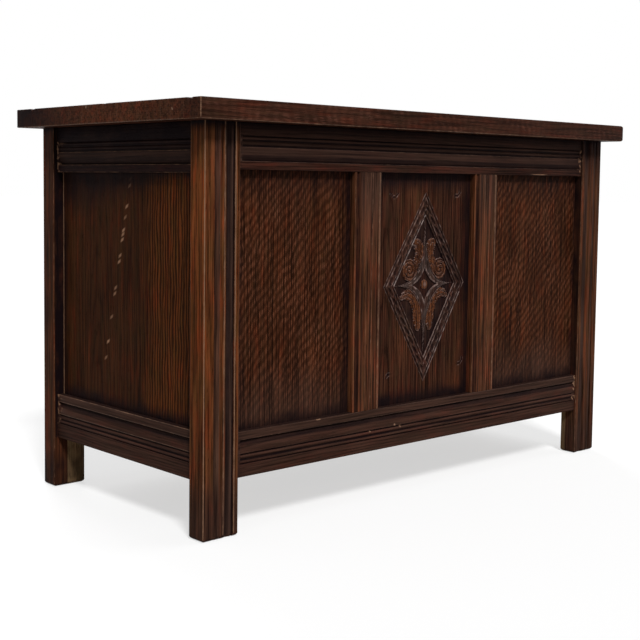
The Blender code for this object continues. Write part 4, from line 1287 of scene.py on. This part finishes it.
# Points along the middle of each leaf, with its half width there as a share of the widest
UPPER_LEAF = (
    (0.0185, 0.0690, 0.80), (0.0150, 0.0640, 1.00), (0.0135, 0.0530, 0.85), (0.0175, 0.0420, 0.75),
    (0.0230, 0.0320, 0.80),
)
LOWER_LEAF = (
    (0.0540, 0.0200, 0.45), (0.0450, 0.0155, 0.75), (0.0320, 0.0175, 0.90), (0.0215, 0.0290, 0.95),
    (0.0165, 0.0450, 0.95), (0.0150, 0.0600, 0.85), (0.0145, 0.0740, 0.45),
)
VOLUTE = (0.0370, 0.0250)
BOSS_STAR = (0.0350, 0.0330, 0.66)
FIELD_STAR_POWER = 0.45
RIM = 0.001


def smooth_route(points, steps=5):
    """More points on a curve through the given ones."""
    ends = [points[0]] + list(points) + [points[-1]]
    route = []
    for before, start, end, after in zip(ends, ends[1:], ends[2:], ends[3:]):
        for step in range(steps):
            t = step / steps
            route.append(tuple(
                0.5 * (2 * b + (c - a) * t + (2 * a - 5 * b + 4 * c - d) * t * t
                       + (3 * b - a - 3 * c + d) * t ** 3)
                for a, b, c, d in zip(before, start, end, after)
            ))
    route.append(points[-1])
    return route


def hollow_star(x, z, width, height, power):
    """Below 1 inside a star with hollow sides and four points."""
    return (abs(x) / width) ** power + (abs(z) / height) ** power


class Lozenge:
    """The carved lozenge's depth, stain and wear at a place (x, z) from its middle."""

    def __init__(self):
        self.sizes = bpy.context.scene.chest_carving
        self.half_width = self.sizes.width / 2
        self.upper_leaf = smooth_route(UPPER_LEAF)
        self.lower_leaf = smooth_route(LOWER_LEAF)

    def half_height(self, z):
        return self.sizes.above if z >= 0 else self.sizes.below

    def slanting_side(self, z):
        """The length of a slanting side, above or below the middle."""
        return math.hypot(self.half_width, self.half_height(z))

    def side_distance(self, z):
        """How far that side runs from the middle."""
        return self.half_width * self.half_height(z) / self.slanting_side(z)

    def from_edge(self, x, z):
        """How far inside the lozenge's edge a place lies."""
        return (1.0 - abs(x) / self.half_width - abs(z) / self.half_height(z)) * self.side_distance(z)

    def border(self, x, z, inward):
        """Two incised lines with a row of slanting nicks between."""
        sizes = self.sizes
        inner = sizes.border - sizes.border_edge
        depth = 0.0
        for middle in (sizes.border_edge, inner):
            depth = max(depth, sizes.line_depth * groove_share(inward - middle, sizes.line))
        cross = inward - sizes.border / 2
        along = abs(z) / self.half_height(z) * self.slanting_side(z)
        along = along % sizes.nick_pitch - sizes.nick_pitch / 2
        lean = 0.13 if x * z > 0 else -0.13
        for start in (along - sizes.nick_pitch, along, along + sizes.nick_pitch):
            down = start * math.cos(lean) + cross * math.sin(lean)
            over = cross * math.cos(lean) - start * math.sin(lean)
            hollow = 1.0 - (down / sizes.nick_length) ** 2 - (over / sizes.nick_width) ** 2
            if hollow > 0:
                depth = max(depth, sizes.nick_depth * math.sqrt(hollow))
        return depth

    def bright_lines(self, x, z, inward):
        """How pale the rubbed ridges beside the incised lines are, with painted highlight: paler on the
        upper left and lower right sides, which face the light.
        """
        patchy = 0.62 + noise.noise(Vector((x * 120.0, 0.0, z * 120.0))) * 0.7
        # Painted highlight on the sides that face the light.
        sunlit = 1.0 if x < 0 < z or z < 0 < x else 0.72
        inner, line_side, width = self.sizes.border, 0.0056, 0.0009
        ridges = (0.0004, line_side, inner - line_side, inner - 0.0006)
        gap = min(abs(inward - ridge) for ridge in ridges)
        return clamped(1.45 - gap / width) * clamped(patchy) * sunlit

    def star_lines(self, x, z):
        """How pale the rubbed edges of the star are."""
        outer, inner = self.stars(x, z)
        patchy = clamped(0.50 + noise.noise(Vector((x * 150.0, 3.0, z * 150.0))) * 0.9)
        outer_line = 1.2 * bump_at(outer, 0.95, 0.035) * (inner > 1.2)
        return patchy * max(1.6 * bump_at(inner, 1.05, 0.09), outer_line)

    def stars(self, x, z):
        """Below 1 inside the star that fills the field, and below 1 inside the sunk one round the boss."""
        share = 1.0 - self.sizes.border / self.side_distance(z)
        width, height = self.half_width * share, self.half_height(z) * share
        return hollow_star(x, z, width, height, FIELD_STAR_POWER), hollow_star(x, z, *BOSS_STAR)

    def leaf_cover(self, x, z):
        """How far a place lies from the leaf's middle in half widths, and how far along the leaf."""
        route = self.upper_leaf if z >= 0 else self.lower_leaf
        best, at = 1e9, 0.0
        x, z = abs(x), abs(z)
        for number, (start, end) in enumerate(zip(route, route[1:])):
            dx, dz = end[0] - start[0], end[1] - start[1]
            t = clamped(((x - start[0]) * dx + (z - start[1]) * dz) / (dx * dx + dz * dz))
            half = (start[2] + (end[2] - start[2]) * t) * self.sizes.leaf
            gap = math.hypot(x - start[0] - dx * t, z - start[1] - dz * t) / half
            if gap < best:
                best, at = gap, (number + t) / len(route)
        return best, at

    def leaf(self, x, z):
        """A leaf's depth and stain: a lobed stem, and over it a volute in the upper half."""
        ground = self.sizes.ground
        ragged = noise.noise(Vector((x * 260.0, 0.0, z * 260.0)))
        depth, stain = ground, 0.0
        gap, at = self.leaf_cover(x, z)
        gap += ragged * 0.16
        if gap < 1.1:
            body = math.sqrt(max(0.0, 1.0 - (gap / 1.1) ** 2))
            veins = 0.0013 * groove_share(gap - 0.42, 0.30)
            lobes = 0.0016 * (0.5 + 0.5 * math.sin(at * 40.0)) ** 3 * eased(gap, 0.40, 0.95)
            depth = ground * (1.0 - 0.95 * min(1.0, body * 1.5)) + veins + lobes
            stain = eased(body, 0.15, 0.45)
        if z >= 0:
            dx, dz = abs(x) - VOLUTE[0], z - VOLUTE[1]
            away = math.hypot(dx, dz) / self.sizes.volute + ragged * 0.06
            if away < 1.0:
                turn = (away * 2.7 + math.atan2(dz, dx) / math.tau) % 1.0
                dome = min(1.0, math.sqrt(1.0 - away * away) * 1.8)
                arcs = 0.0019 * groove_share(turn - 0.5, 0.62)
                depth = min(depth, ground * (1.0 - 0.95 * dome)) + arcs
                stain = max(stain, eased(dome, 0.2, 0.6)) * (1.0 - 0.5 * arcs / 0.0019)
        return depth, stain * clamped(0.85 + ragged * 0.5)

    def field(self, x, z):
        """The star, the boss and the four leaves on their sunk ground, as depth, leaf stain and dust."""
        ground = self.sizes.ground
        outer, inner = self.stars(x, z)
        boss = math.hypot(x, z) / self.sizes.boss
        if inner < 1.0:
            depth = ground * 0.75 * eased(1.0 - inner, 0.0, 0.09)
            stain = 0.0
            if boss < 1.0:
                dome = math.sqrt(1.0 - boss * boss)
                dimple = 0.0008 * groove_share(boss - 0.50, 0.34)
                depth = min(depth, ground * 0.75 - ground * 0.95 * dome + dimple)
                stain = eased(dome, 0.15, 0.5)
            return max(0.0, depth), stain, 0.15 * (1.0 - stain)
        if outer < 1.0:
            rim = 0.0010 * groove_share(inner - 1.32, 0.24) * eased(1.0 - outer, 0.05, 0.10)
            stem = min(abs(x), abs(z)) / 0.0016
            vein = 0.0018 * clamped(1.0 - stem) * eased(inner, 1.25, 1.5)
            mottled = 0.70 + noise.noise(Vector((x * 70.0, 0.0, z * 70.0))) * 0.8
            edge = ground * 0.35 * (1.0 - eased(1.0 - outer, 0.0, 0.08))
            return edge + max(vein, rim), 0.0, clamped(mottled)
        depth, stain = self.leaf(x, z)
        return min(depth, ground) * eased(outer - 1.0, 0.0, 0.035), stain, 0.25 * (1.0 - stain)

    def cut(self, x, z):
        """Depth, leaf stain and dust at a place."""
        inward = self.from_edge(x, z)
        if inward <= 0.0:
            return 0.0, 0.0, 0.0
        if inward < self.sizes.border:
            return self.border(x, z, inward), 0.0, 0.30
        depth, stain, dust = self.field(x, z)
        rim = eased(inward - self.sizes.border, 0.0, RIM)
        return depth * rim, stain * rim, dust

    def rubbed(self, x, z, relief):
        """How far the stain is rubbed off a ridge, the lines of the border and the star, and the boss."""
        inward = self.from_edge(x, z)
        ridge = clamped(relief / 0.00022) * (0.9 if inward > 0 else 0.7)
        if -RIM < inward < self.sizes.border:
            ridge = max(ridge * 0.6, self.bright_lines(x, z, inward) * 1.15)
        elif inward > 0:
            ridge = max(ridge, self.star_lines(x, z))
        boss = clamped(1.2 - math.hypot(x, z) / self.sizes.boss)
        return max(ridge, boss * 0.75)


# Each mark's middle, its radius and the bearing of its deepest point
GOUGE_MARKS = (
    (-0.0768, 0.1565, 0.0095, -1.6), (0.0770, 0.1580, 0.0095, -0.9), (0.0900, -0.1330, 0.0090, -0.6),
    (-0.0835, -0.1500, 0.0060, 2.2), (-0.0645, 0.1235, 0.0005, 0.0),
)


def gouge_depth(x, z):
    """Shallow crescents that a gouge left near the panel's corners."""
    deepest, width = 0.0012, 0.0034
    depth = 0.0
    for middle_x, middle_z, radius, turn in GOUGE_MARKS:
        away = math.hypot(x - middle_x, z - middle_z)
        bearing = math.atan2(z - middle_z, x - middle_x) - turn
        inside = math.cos(bearing)
        if inside > 0:
            depth = max(depth, deepest * groove_share(away - radius, width) * inside ** 0.5)
    return depth


def carving_grid(bm, carving, middle):
    """A fine grid over the lozenge and a narrow rim, whose lines run along the lozenge's sides."""
    sizes = carving.sizes
    steps = 252
    bmesh.ops.create_grid(bm, x_segments=steps, y_segments=steps, size=1.0)
    grown = 1.0 + sizes.margin / carving.side_distance(1.0)
    width, height = carving.half_width * grown, sizes.above * grown
    skew = Matrix((
        (width / 2, width / 2, 0.0, middle.x),
        (0.0, 0.0, 1.0, middle.y),
        (height / 2, -height / 2, 0.0, middle.z),
        (0.0, 0.0, 0.0, 1.0),
    ))
    bmesh.ops.transform(bm, matrix=skew, verts=bm.verts[:])
    lower = [vert for vert in bm.verts if vert.co.z < middle.z - SAME_PLACE]
    bmesh.ops.scale(
        bm, vec=(1.0, 1.0, sizes.below / sizes.above), space=Matrix.Translation(-middle), verts=lower
    )


def flat_round_carving(bm, low, high, middle):
    """The four flat faces between the carved lozenge and the panel's edges."""
    rim = [edge for edge in bm.edges if edge.is_boundary]
    tips = [
        max((vert for edge in rim for vert in edge.verts), key=lambda vert: vert.co.dot(way))
        for way in (Vector((0, 0, 1)), Vector((1, 0, 0)), Vector((0, 0, -1)), Vector((-1, 0, 0)))
    ]
    sides = (
        (middle.x, high.z), (high.x, high.z), (high.x, middle.z), (high.x, low.z),
        (middle.x, low.z), (low.x, low.z), (low.x, middle.z), (low.x, high.z),
    )
    corners = [bm.verts.new((x, low.y, z)) for x, z in sides]
    border = [bm.edges.new((start, end)) for start, end in zip(corners, corners[1:] + corners[:1])]
    spokes = [bm.edges.new((tip, corners[number * 2])) for number, tip in enumerate(tips)]
    outside = []
    for number in range(4):
        start, corner, end = (corners[(number * 2 + step) % 8] for step in range(3))
        across = 1 if number in (0, 1) else -1
        upward = 1 if number in (0, 3) else -1
        part = [
            edge for edge in rim
            if all((vert.co.x - middle.x) * across > -SAME_PLACE
                   and (vert.co.z - middle.z) * upward > -SAME_PLACE for vert in edge.verts)
        ]
        near = [edge for edge in border if corner in edge.verts]
        joins = [edge for edge in spokes if start in edge.verts or end in edge.verts]
        outside += bmesh.ops.contextual_create(bm, geom=part + near + joins)["faces"]
    return outside


def close_panel(bm, low, high, middle):
    """Joins the carved lozenge to the flat panel round it and gives the panel its edges and back."""
    fine_step = 0.0027
    outside = flat_round_carving(bm, low, high, middle)
    for axis, ends in ((0, (low.x, high.x)), (2, (low.z, high.z))):
        normal = Vector((float(axis == 0), 0.0, float(axis == 2)))
        for place in spaced(*ends, fine_step):
            parts = set(outside)
            for face in outside:
                parts.update(face.edges, face.verts)
            cut = bmesh.ops.bisect_plane(
                bm, geom=list(parts), dist=SAME_PLACE, plane_co=normal * place, plane_no=normal
            )["geom"]
            outside = of_kind(cut, bmesh.types.BMFace)
    back = bmesh.ops.extrude_edge_only(bm, edges=[edge for edge in bm.edges if edge.is_boundary])["geom"]
    bmesh.ops.translate(bm, vec=(0, high.y - low.y, 0), verts=of_kind(back, bmesh.types.BMVert))
    bmesh.ops.contextual_create(
        bm, geom=[edge for edge in of_kind(back, bmesh.types.BMEdge) if edge.is_boundary]
    )


def carving_dirt(place, depth, stain, relief):
    """Old wax on the sunk ground, in sharp hollows and in spots on the leaves."""
    mottled = 0.75 + 0.35 * noise.noise(place * 55.0)
    ground = clamped(depth / 0.0030 * (1.0 - 0.8 * stain)) * 0.90 * mottled
    hollow = clamped(-relief / 0.0004) * 0.8
    return ground + hollow + stain * 0.55 * clamped(noise.noise(place * 230.0) * 1.6)


def make_carved_panel(side, name, seed):
    """The middle panel, cut to its carving's depth."""
    carving = Lozenge()
    low, high = side.box(name)
    middle = Vector(((low.x + high.x) / 2 + carving.sizes.shift, low.y, carving.sizes.rise))
    bm = bmesh.new()
    carving_grid(bm, carving, middle)
    close_panel(bm, low, high, middle)
    heart = 0.030
    reaches = (0.012, 0.028, 0.024, 0.034)
    marks = Marks(bm, seed, (0, 1, 2), low.x + heart, low.y)
    face = [vert for vert in bm.verts if vert.co.y < low.y + FIT]
    cuts = {}
    for vert in face:
        x, z = vert.co.x - middle.x, vert.co.z - middle.z
        inside = carving.from_edge(x, z) > -RIM
        cuts[vert] = carving.cut(x, z) if inside else (gouge_depth(x, z), 0.0, 0.0)
    for vert in face:
        depth, stain, dust = cuts[vert]
        nearby = [edge.other_vert(vert) for edge in vert.link_edges]
        around = [cuts[other][0] for other in nearby if other in cuts]
        relief = sum(around) / len(around) - depth
        # Toning and painted shade towards the panel's edges.
        toned = edge_tone_and_shade(vert.co, low, high, reaches, 0.88)
        vert[marks.wear] = carving.rubbed(vert.co.x - middle.x, vert.co.z - middle.z, relief)
        vert[marks.leaf] = stain
        vert[marks.cool] = dust * clamped(0.85 + noise.noise(vert.co * 90.0) * 0.5)
        vert[marks.dirt] = clamped(max(carving_dirt(vert.co, depth, stain, relief), toned))
    for vert in face:
        vert.co.y += cuts[vert][0]
    panel_piece(bm, name, "carved_oak", side.placing)


# Lid


LEAF_BED = 0.0023
JOINT_WEAR = (0.0045, 0.0075)
LID_KNOCKS = ((-0.1880, 0.6155), (0.0370, 0.6265))
KNOCK_STEPS = (-0.003, 0.0, 0.003)
KNOCK_REACH = 0.0022
LEFT_END_WEAR = 0.014


def soften_end(bm, low, high, height, reach):
    """Rounds the arrises above and below a board's right end."""
    steps = [height * share for share in (0.05, 0.15, 0.35, 0.65, 1.0)]
    slice_mesh(bm, 2, [high.z - step for step in steps] + [low.z + step for step in steps])
    for vert in bm.verts:
        over = max(vert.co.z - high.z + height, low.z + height - vert.co.z, 0.0) / height
        rounding = 0.30 * over + 0.70 * (1.0 - math.sqrt(max(0.0, 1.0 - over * over)))
        vert.co.x = min(vert.co.x, high.x - reach * rounding)
    bmesh.ops.remove_doubles(bm, verts=bm.verts[:], dist=SAME_PLACE)


class LidBoard:
    """A board of the lid, with the places of its joints with other boards."""

    def __init__(self, name, joint_front, joint_back):
        self.sizes = bpy.context.scene.chest_lid
        self.low, self.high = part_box(name)
        self.joints = [self.low.y] * joint_front + [self.high.y] * joint_back
        self.chamfer_foot = self.high.z - self.sizes.joint_arris - FIT

    def on_top(self, edge):
        return all(vert.co.z > self.high.z - FIT for vert in edge.verts)

    def underneath(self, edge):
        return all(vert.co.z < self.low.z + FIT for vert in edge.verts)

    def at_joint(self, edge):
        return any(all(abs(vert.co.y - y) < FIT for vert in edge.verts) for y in self.joints)

    def round_outside(self, bm):
        """Rounds the free corners, chamfers the joints on top and rounds the arrises that are left."""
        sizes = self.sizes
        for edge in [edge for edge in edges_along(bm, 2) if not self.at_joint(edge)]:
            crisp = edge.verts[0].co.x < 0 and edge.verts[0].co.y < 0
            round_edges(bm, [edge], sizes.corner if crisp else sizes.worn_corner, 4)
        joints = [edge for edge in bm.edges if self.on_top(edge) and self.at_joint(edge)]
        round_edges(bm, joints, sizes.joint_arris, 1)
        arrises = [
            edge for edge in bm.edges
            if (self.on_top(edge) or self.underneath(edge))
            and len(edge.link_faces) == 2 and edge.calc_face_angle() > math.radians(70)
        ]
        round_edges(bm, arrises, sizes.edge_arris)

    def wear_joints(self, bm):
        """Sinks the chamfers at the lid's left end, least at the middle joint."""
        full = JOINT_WEAR[-1]
        for vert in bm.verts:
            if vert.co.z > self.chamfer_foot:
                for y in self.joints:
                    worn = clamped(1.0 - abs(vert.co.y - y) / full)
                    worn *= clamped(1.0 - (vert.co.x - self.low.x) / LEFT_END_WEAR)
                    vert.co.z -= self.sizes.notch * worn * (1.0 if abs(y) > 0.1 else 0.2)

    def mesh(self):
        low, high = self.low, self.high
        bm = board_mesh(low, high)
        self.round_outside(bm)
        ends = [low.x + WEAR_REACH, high.x - WEAR_REACH]
        slice_mesh(bm, 0, ends + spaced(low.x + 0.01, high.x - 0.01, 0.04))
        slice_mesh(bm, 0, [low.x + 0.006, low.x + LEFT_END_WEAR])
        beside = [y + way * step for y in self.joints for way in (-1, 1) for step in JOINT_WEAR]
        slice_mesh(bm, 1, [y for y in beside if low.y < y < high.y])
        self.wear_joints(bm)
        soften_end(bm, low, high, self.sizes.worn_end, self.sizes.worn_reach)
        knocks = [knock for knock in LID_KNOCKS if low.y < knock[0] < high.y]
        for axis, middles in ((1, [y for y, z in knocks]), (2, [z for y, z in knocks])):
            near = [middle + step for middle in middles for step in KNOCK_STEPS]
            slice_mesh(bm, axis, [low[axis] + WEAR_REACH, high[axis] - WEAR_REACH] + near)
        return bm

    def at_left_end(self, place):
        return place.x < self.low.x + FIT

    def dirt(self, place):
        """Old wax towards the right, in the chamfered joints and towards both corners of the left end."""
        wax = 0.28 * eased(place.x, -0.1, 0.45)
        if self.at_left_end(place):
            return max(wax, 0.86 * eased(place.y, 0.11, 0.21), 0.40 * eased(-place.y, 0.15, 0.24))
        if place.z > self.chamfer_foot:
            return max([wax] + [0.85 * bump_at(place.y, y, JOINT_WEAR[0]) for y in self.joints])
        return wax

    def knocked(self, place):
        """Wear round the knocks in the left end."""
        if not self.at_left_end(place):
            return 0.0
        away = min(math.hypot(place.y - y, place.z - z) for y, z in LID_KNOCKS)
        return 1.2 * clamped(1.6 - away / KNOCK_REACH)


def make_lid_board(name, body, seed, joint_front, joint_back):
    """A board of the lid, rounded outside, chamfered along its joints and sunk for the hinges."""
    board = LidBoard(name, joint_front, joint_back)
    low, high = board.low, board.high
    bm = board.mesh()
    marks = Marks(bm, seed, (1, 2, 0), (low.y + high.y) / 2, high.z)
    marks.rub_arrises(low - Vector((0, joint_front, 0)), high + Vector((0, joint_back, 1)))
    marks.rub_arrises(low - Vector((0, joint_front, 0)), high + Vector((0, joint_back, 0)), strength=0.55)
    marks.soil_and_shade(board.dirt)
    marks.stain(marks.warm, lambda place: 0.62 if board.at_left_end(place) else 0.0)
    marks.rub(board.knocked)
    if name in ("lid_back_board", "hinge_strip"):
        sink_hinge_beds(bm, low, high, name == "hinge_strip")
    finished_piece(bm, "oak_" + name, body, [name], ("lid_oak",))


def sink_hinge_beds(bm, low, high, at_front):
    """Beds for the hinge leaves and knuckles in the top of a board, at its joint with the other."""
    for side in ("left", "right"):
        leaf_low, leaf_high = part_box(f"hinge_{'fixed' if at_front else 'lid'}_leaf_{side}")
        pin_low, pin_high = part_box(f"hinge_pin_{side}")
        left, right = leaf_low.x - FIT, leaf_high.x + FIT
        axis = (pin_low.y + pin_high.y) / 2
        radius = leaf_high.z - high.z + FIT * 2
        edge = leaf_high.y + FIT if at_front else leaf_low.y - FIT
        trough = axis + radius if at_front else axis - radius
        joint = low.y if at_front else high.y
        slice_mesh(bm, 0, [left, right])
        slice_mesh(bm, 1, [edge, trough])
        for start, end, depth in ((edge, trough, LEAF_BED), (trough, joint, radius)):
            patch = [
                face for face in bm.faces
                if face.normal.z > 0.3 and left < face.calc_center_median().x < right
                and min(start, end) < face.calc_center_median().y < max(start, end)
            ]
            sink(bm, patch, Vector((0.0, 0.0, -depth)))


# Operators


class CHEST_OT_finishes(bpy.types.Operator):
    """Make the oak, brass and steel finishes"""

    bl_idname = "chest.finishes"
    bl_label = "Finishes"

    def execute(self, context):
        make_materials()
        return {"FINISHED"}


class CHEST_OT_posts(bpy.types.Operator):
    """Model the four posts, with the moulding that runs down the front pair"""

    bl_idname = "chest.posts"
    bl_label = "Posts"

    def execute(self, context):
        corners = ("front_left", "front_right", "rear_left", "rear_right")
        for number, corner in enumerate(corners):
            make_post(f"{corner}_post", 1.0 + number)
        return {"FINISHED"}


class CHEST_OT_rails(bpy.types.Operator):
    """Model the rails round the carcase, with mouldings stopped short of the posts"""

    bl_idname = "chest.rails"
    bl_label = "Rails"

    def execute(self, context):
        number = 10.0
        for name in ("front", "left", "right", "rear"):
            side = side_named(name)
            for level in ("top", "bottom"):
                make_rail(side, level, number)
                number += 1.0
        return {"FINISHED"}


class CHEST_OT_muntins(bpy.types.Operator):
    """Model the muntins between the panels"""

    bl_idname = "chest.muntins"
    bl_label = "Muntins"

    def execute(self, context):
        front, rear = side_named("front"), side_named("rear")
        make_muntin(front, "front_left_muntin", 20.0)
        make_muntin(front, "front_right_muntin", 21.0)
        make_muntin(rear, "rear_muntin", 22.0)
        return {"FINISHED"}


class CHEST_OT_panels(bpy.types.Operator):
    """Model the plain panels on all four sides"""

    bl_idname = "chest.panels"
    bl_label = "Plain panels"

    def execute(self, context):
        for seed, side, name, finish, heart, reaches, glow in (
            (0.0, "front", "front_left_panel", "quartered_oak", 0.0, (0.019, 0.018, 0.016, 0.052), 0.0),
            (1.3, "front", "front_right_panel", "quartered_oak", 0.0, (0.014, 0.004, 0.020, 0.050), 0.0),
            (0.0, "left", "left_end_panel", "end_panel_oak", -0.080, (0.020, 0.010, 0.020, 0.084), 1.0),
            (3.1, "right", "right_end_panel", "end_panel_oak", 0.040, (0.020, 0.020, 0.020, 0.030), 0.3),
            (4.7, "rear", "rear_left_panel", "end_panel_oak", 0.030, (0.020, 0.020, 0.020, 0.020), 0.0),
            (5.3, "rear", "rear_right_panel", "end_panel_oak", -0.050, (0.020, 0.020, 0.020, 0.020), 0.0),
        ):
            make_panel(side_named(side), name, finish, seed, heart, reaches, glow)
        return {"FINISHED"}


class CHEST_OT_carving(bpy.types.Operator):
    """Model the middle panel with its carved lozenge"""

    bl_idname = "chest.carving"
    bl_label = "Carved panel"

    def execute(self, context):
        make_carved_panel(side_named("front"), "front_carved_panel", 0.0)
        return {"FINISHED"}


class CHEST_OT_lid(bpy.types.Operator):
    """Model the boards of the lid and the strip that stays behind it"""

    bl_idname = "chest.lid"
    bl_label = "Lid"

    def execute(self, context):
        for name, body, seed, joint_front, joint_back in (
            ("lid_front_strip", LID, 30.0, False, True), ("lid_front_board", LID, 31.0, True, True),
            ("lid_back_board", LID, 32.0, True, True), ("hinge_strip", CARCASE, 33.0, True, False),
        ):
            make_lid_board(name, body, seed, joint_front, joint_back)
        return {"FINISHED"}


class CHEST_OT_inside(bpy.types.Operator):
    """Finish the boards, bearers, battens and metalwork that keep their solids"""

    bl_idname = "chest.inside"
    bl_label = "Inside and metalwork"

    def execute(self, context):
        finishes = (
            ("floor_board", "bare_board_oak"), ("front_floor_bearer", "bare_rail_oak"),
            ("rear_floor_bearer", "bare_rail_oak"), ("lid_batten", "bare_board_oak"),
            ("lid_front_tongue", "bare_rail_oak"), ("lid_middle_tongue", "bare_rail_oak"),
            ("hinge_fixed_leaf", "brass"), ("hinge_lid_leaf", "brass"), ("hinge_pin", "steel"),
            ("hinge_screw", "steel"), ("strip_screw", "steel"), ("batten_screw", "steel"),
        )
        for name, made in frame["nodes"].items():
            for start, finish in finishes:
                if name.startswith(start):
                    made.data.materials.clear()
                    made.data.materials.append(material_named(finish))
        return {"FINISHED"}


class CHEST_OT_stage(bpy.types.Operator):
    """Set up the floor, the lamps and the camera"""

    bl_idname = "chest.stage"
    bl_label = "Stage"

    def execute(self, context):
        stage = context.scene.chest_stage
        make_floor(stage)
        make_world(stage)
        for name, way, energy, spread in (
            ("key_lamp", (-0.36, -0.70, 0.80), 2.9, 12.0),
            ("fill_lamp", (0.85, -0.35, 0.45), 0.55, 40.0),
            ("back_lamp", (0.35, 0.85, 0.55), 1.5, 30.0),
        ):
            lamp = bpy.data.lights.new(name, "SUN")
            lamp.energy = energy
            lamp.angle = math.radians(spread)
            made = bpy.data.objects.new(name, lamp)
            made.rotation_euler = Vector(way).to_track_quat("Z", "Y").to_euler()
            context.scene.collection.objects.link(made)
        make_camera(stage)
        context.scene.view_settings.view_transform = "Standard"
        return {"FINISHED"}


FLOOR_REACH = 30.0
SENSOR_WIDTH = 36.0


def make_floor(stage):
    bm = bmesh.new()
    bmesh.ops.create_grid(bm, x_segments=1, y_segments=1, size=FLOOR_REACH)
    mesh = bpy.data.meshes.new("floor")
    bm.to_mesh(mesh)
    bm.free()
    material = bpy.data.materials.new("floor")
    material.use_nodes = True
    w = Wiring(material.node_tree)
    shader = material.node_tree.nodes["Principled BSDF"]
    shader.inputs["Base Color"].default_value = (*stage.floor, 1.0)
    shader.inputs["Roughness"].default_value = 0.9
    shader.inputs["Specular IOR Level"].default_value = 0.0
    shader.inputs["Emission Color"].default_value = (1.0, 1.0, 1.0, 1.0)
    w.feed(shader.inputs["Emission Strength"], w.times(seen_directly(w), stage.floor_lift))
    mesh.materials.append(material)
    floor = bpy.data.objects.new("floor", mesh)
    floor.location.z = -FIT
    bpy.context.scene.collection.objects.link(floor)


def seen_directly(w):
    """1 for rays that show the background, from the camera or by way of gloss or glass."""
    light = w.add("ShaderNodeLightPath").outputs
    seen = w.math("MAXIMUM", light["Is Camera Ray"], light["Is Glossy Ray"])
    return w.math("MAXIMUM", seen, light["Is Transmission Ray"])


def make_world(stage):
    world = bpy.data.worlds.new("studio")
    bpy.context.scene.world = world
    world.use_nodes = True
    w = Wiring(world.node_tree)
    background = world.node_tree.nodes["Background"]
    background.inputs["Color"].default_value = (1.0, 1.0, 1.0, 1.0)
    strength = w.remap(seen_directly(w), 0.0, 1.0, stage.ambient, 1.0, smooth=False)
    w.feed(background.inputs["Strength"], strength)


def make_camera(stage):
    camera = bpy.data.cameras.new("camera")
    camera.lens = stage.lens
    camera.sensor_width = SENSOR_WIDTH
    camera.shift_x, camera.shift_y = stage.shift
    made = bpy.data.objects.new("camera", camera)
    bpy.context.scene.collection.objects.link(made)
    made.matrix_world = (
        Matrix.Translation(stage.camera_place) @ Matrix.Rotation(-stage.yaw, 4, "Z")
        @ Matrix.Rotation(math.pi / 2 - stage.pitch, 4, "X") @ Matrix.Rotation(-stage.roll, 4, "Z")
    )
    bpy.context.scene.camera = made


class CHEST_PT_sidebar(bpy.types.Panel):
    """Lists the chest's sizes, colours and steps"""

    bl_idname = "CHEST_PT_sidebar"
    bl_label = "Oak Blanket Chest"
    bl_space_type = "VIEW_3D"
    bl_region_type = "UI"
    bl_category = "Chest"

    def draw(self, context):
        for group in ("chest_moulding", "chest_carving", "chest_lid", "chest_finish", "chest_stage"):
            settings = getattr(context.scene, group)
            box = self.layout.box()
            for name in settings.bl_rna.properties.keys():
                if name not in ("rna_type", "name"):
                    box.prop(settings, name)
        for operator in OPERATORS:
            self.layout.operator(operator.bl_idname)


GROUPS = {
    "chest_moulding": ChestMoulding, "chest_carving": ChestCarving, "chest_lid": ChestLid,
    "chest_finish": ChestFinish, "chest_stage": ChestStage,
}
OPERATORS = (
    CHEST_OT_finishes, CHEST_OT_posts, CHEST_OT_rails, CHEST_OT_muntins, CHEST_OT_panels,
    CHEST_OT_carving, CHEST_OT_lid, CHEST_OT_inside, CHEST_OT_stage,
)


def register():
    for name, group in GROUPS.items():
        bpy.utils.register_class(group)
        setattr(bpy.types.Scene, name, PointerProperty(type=group))
    for operator in OPERATORS:
        bpy.utils.register_class(operator)
    bpy.utils.register_class(CHEST_PT_sidebar)


def unregister():
    bpy.utils.unregister_class(CHEST_PT_sidebar)
    for operator in reversed(OPERATORS):
        bpy.utils.unregister_class(operator)
    for name, group in reversed(GROUPS.items()):
        delattr(bpy.types.Scene, name)
        bpy.utils.unregister_class(group)


def main():
    register()
    bpy.ops.chest.finishes()
    bpy.ops.chest.posts()
    bpy.ops.chest.rails()
    bpy.ops.chest.muntins()
    bpy.ops.chest.panels()
    bpy.ops.chest.carving()
    bpy.ops.chest.lid()
    bpy.ops.chest.inside()
    bpy.ops.chest.stage()


if __name__ == "__main__":
    main()
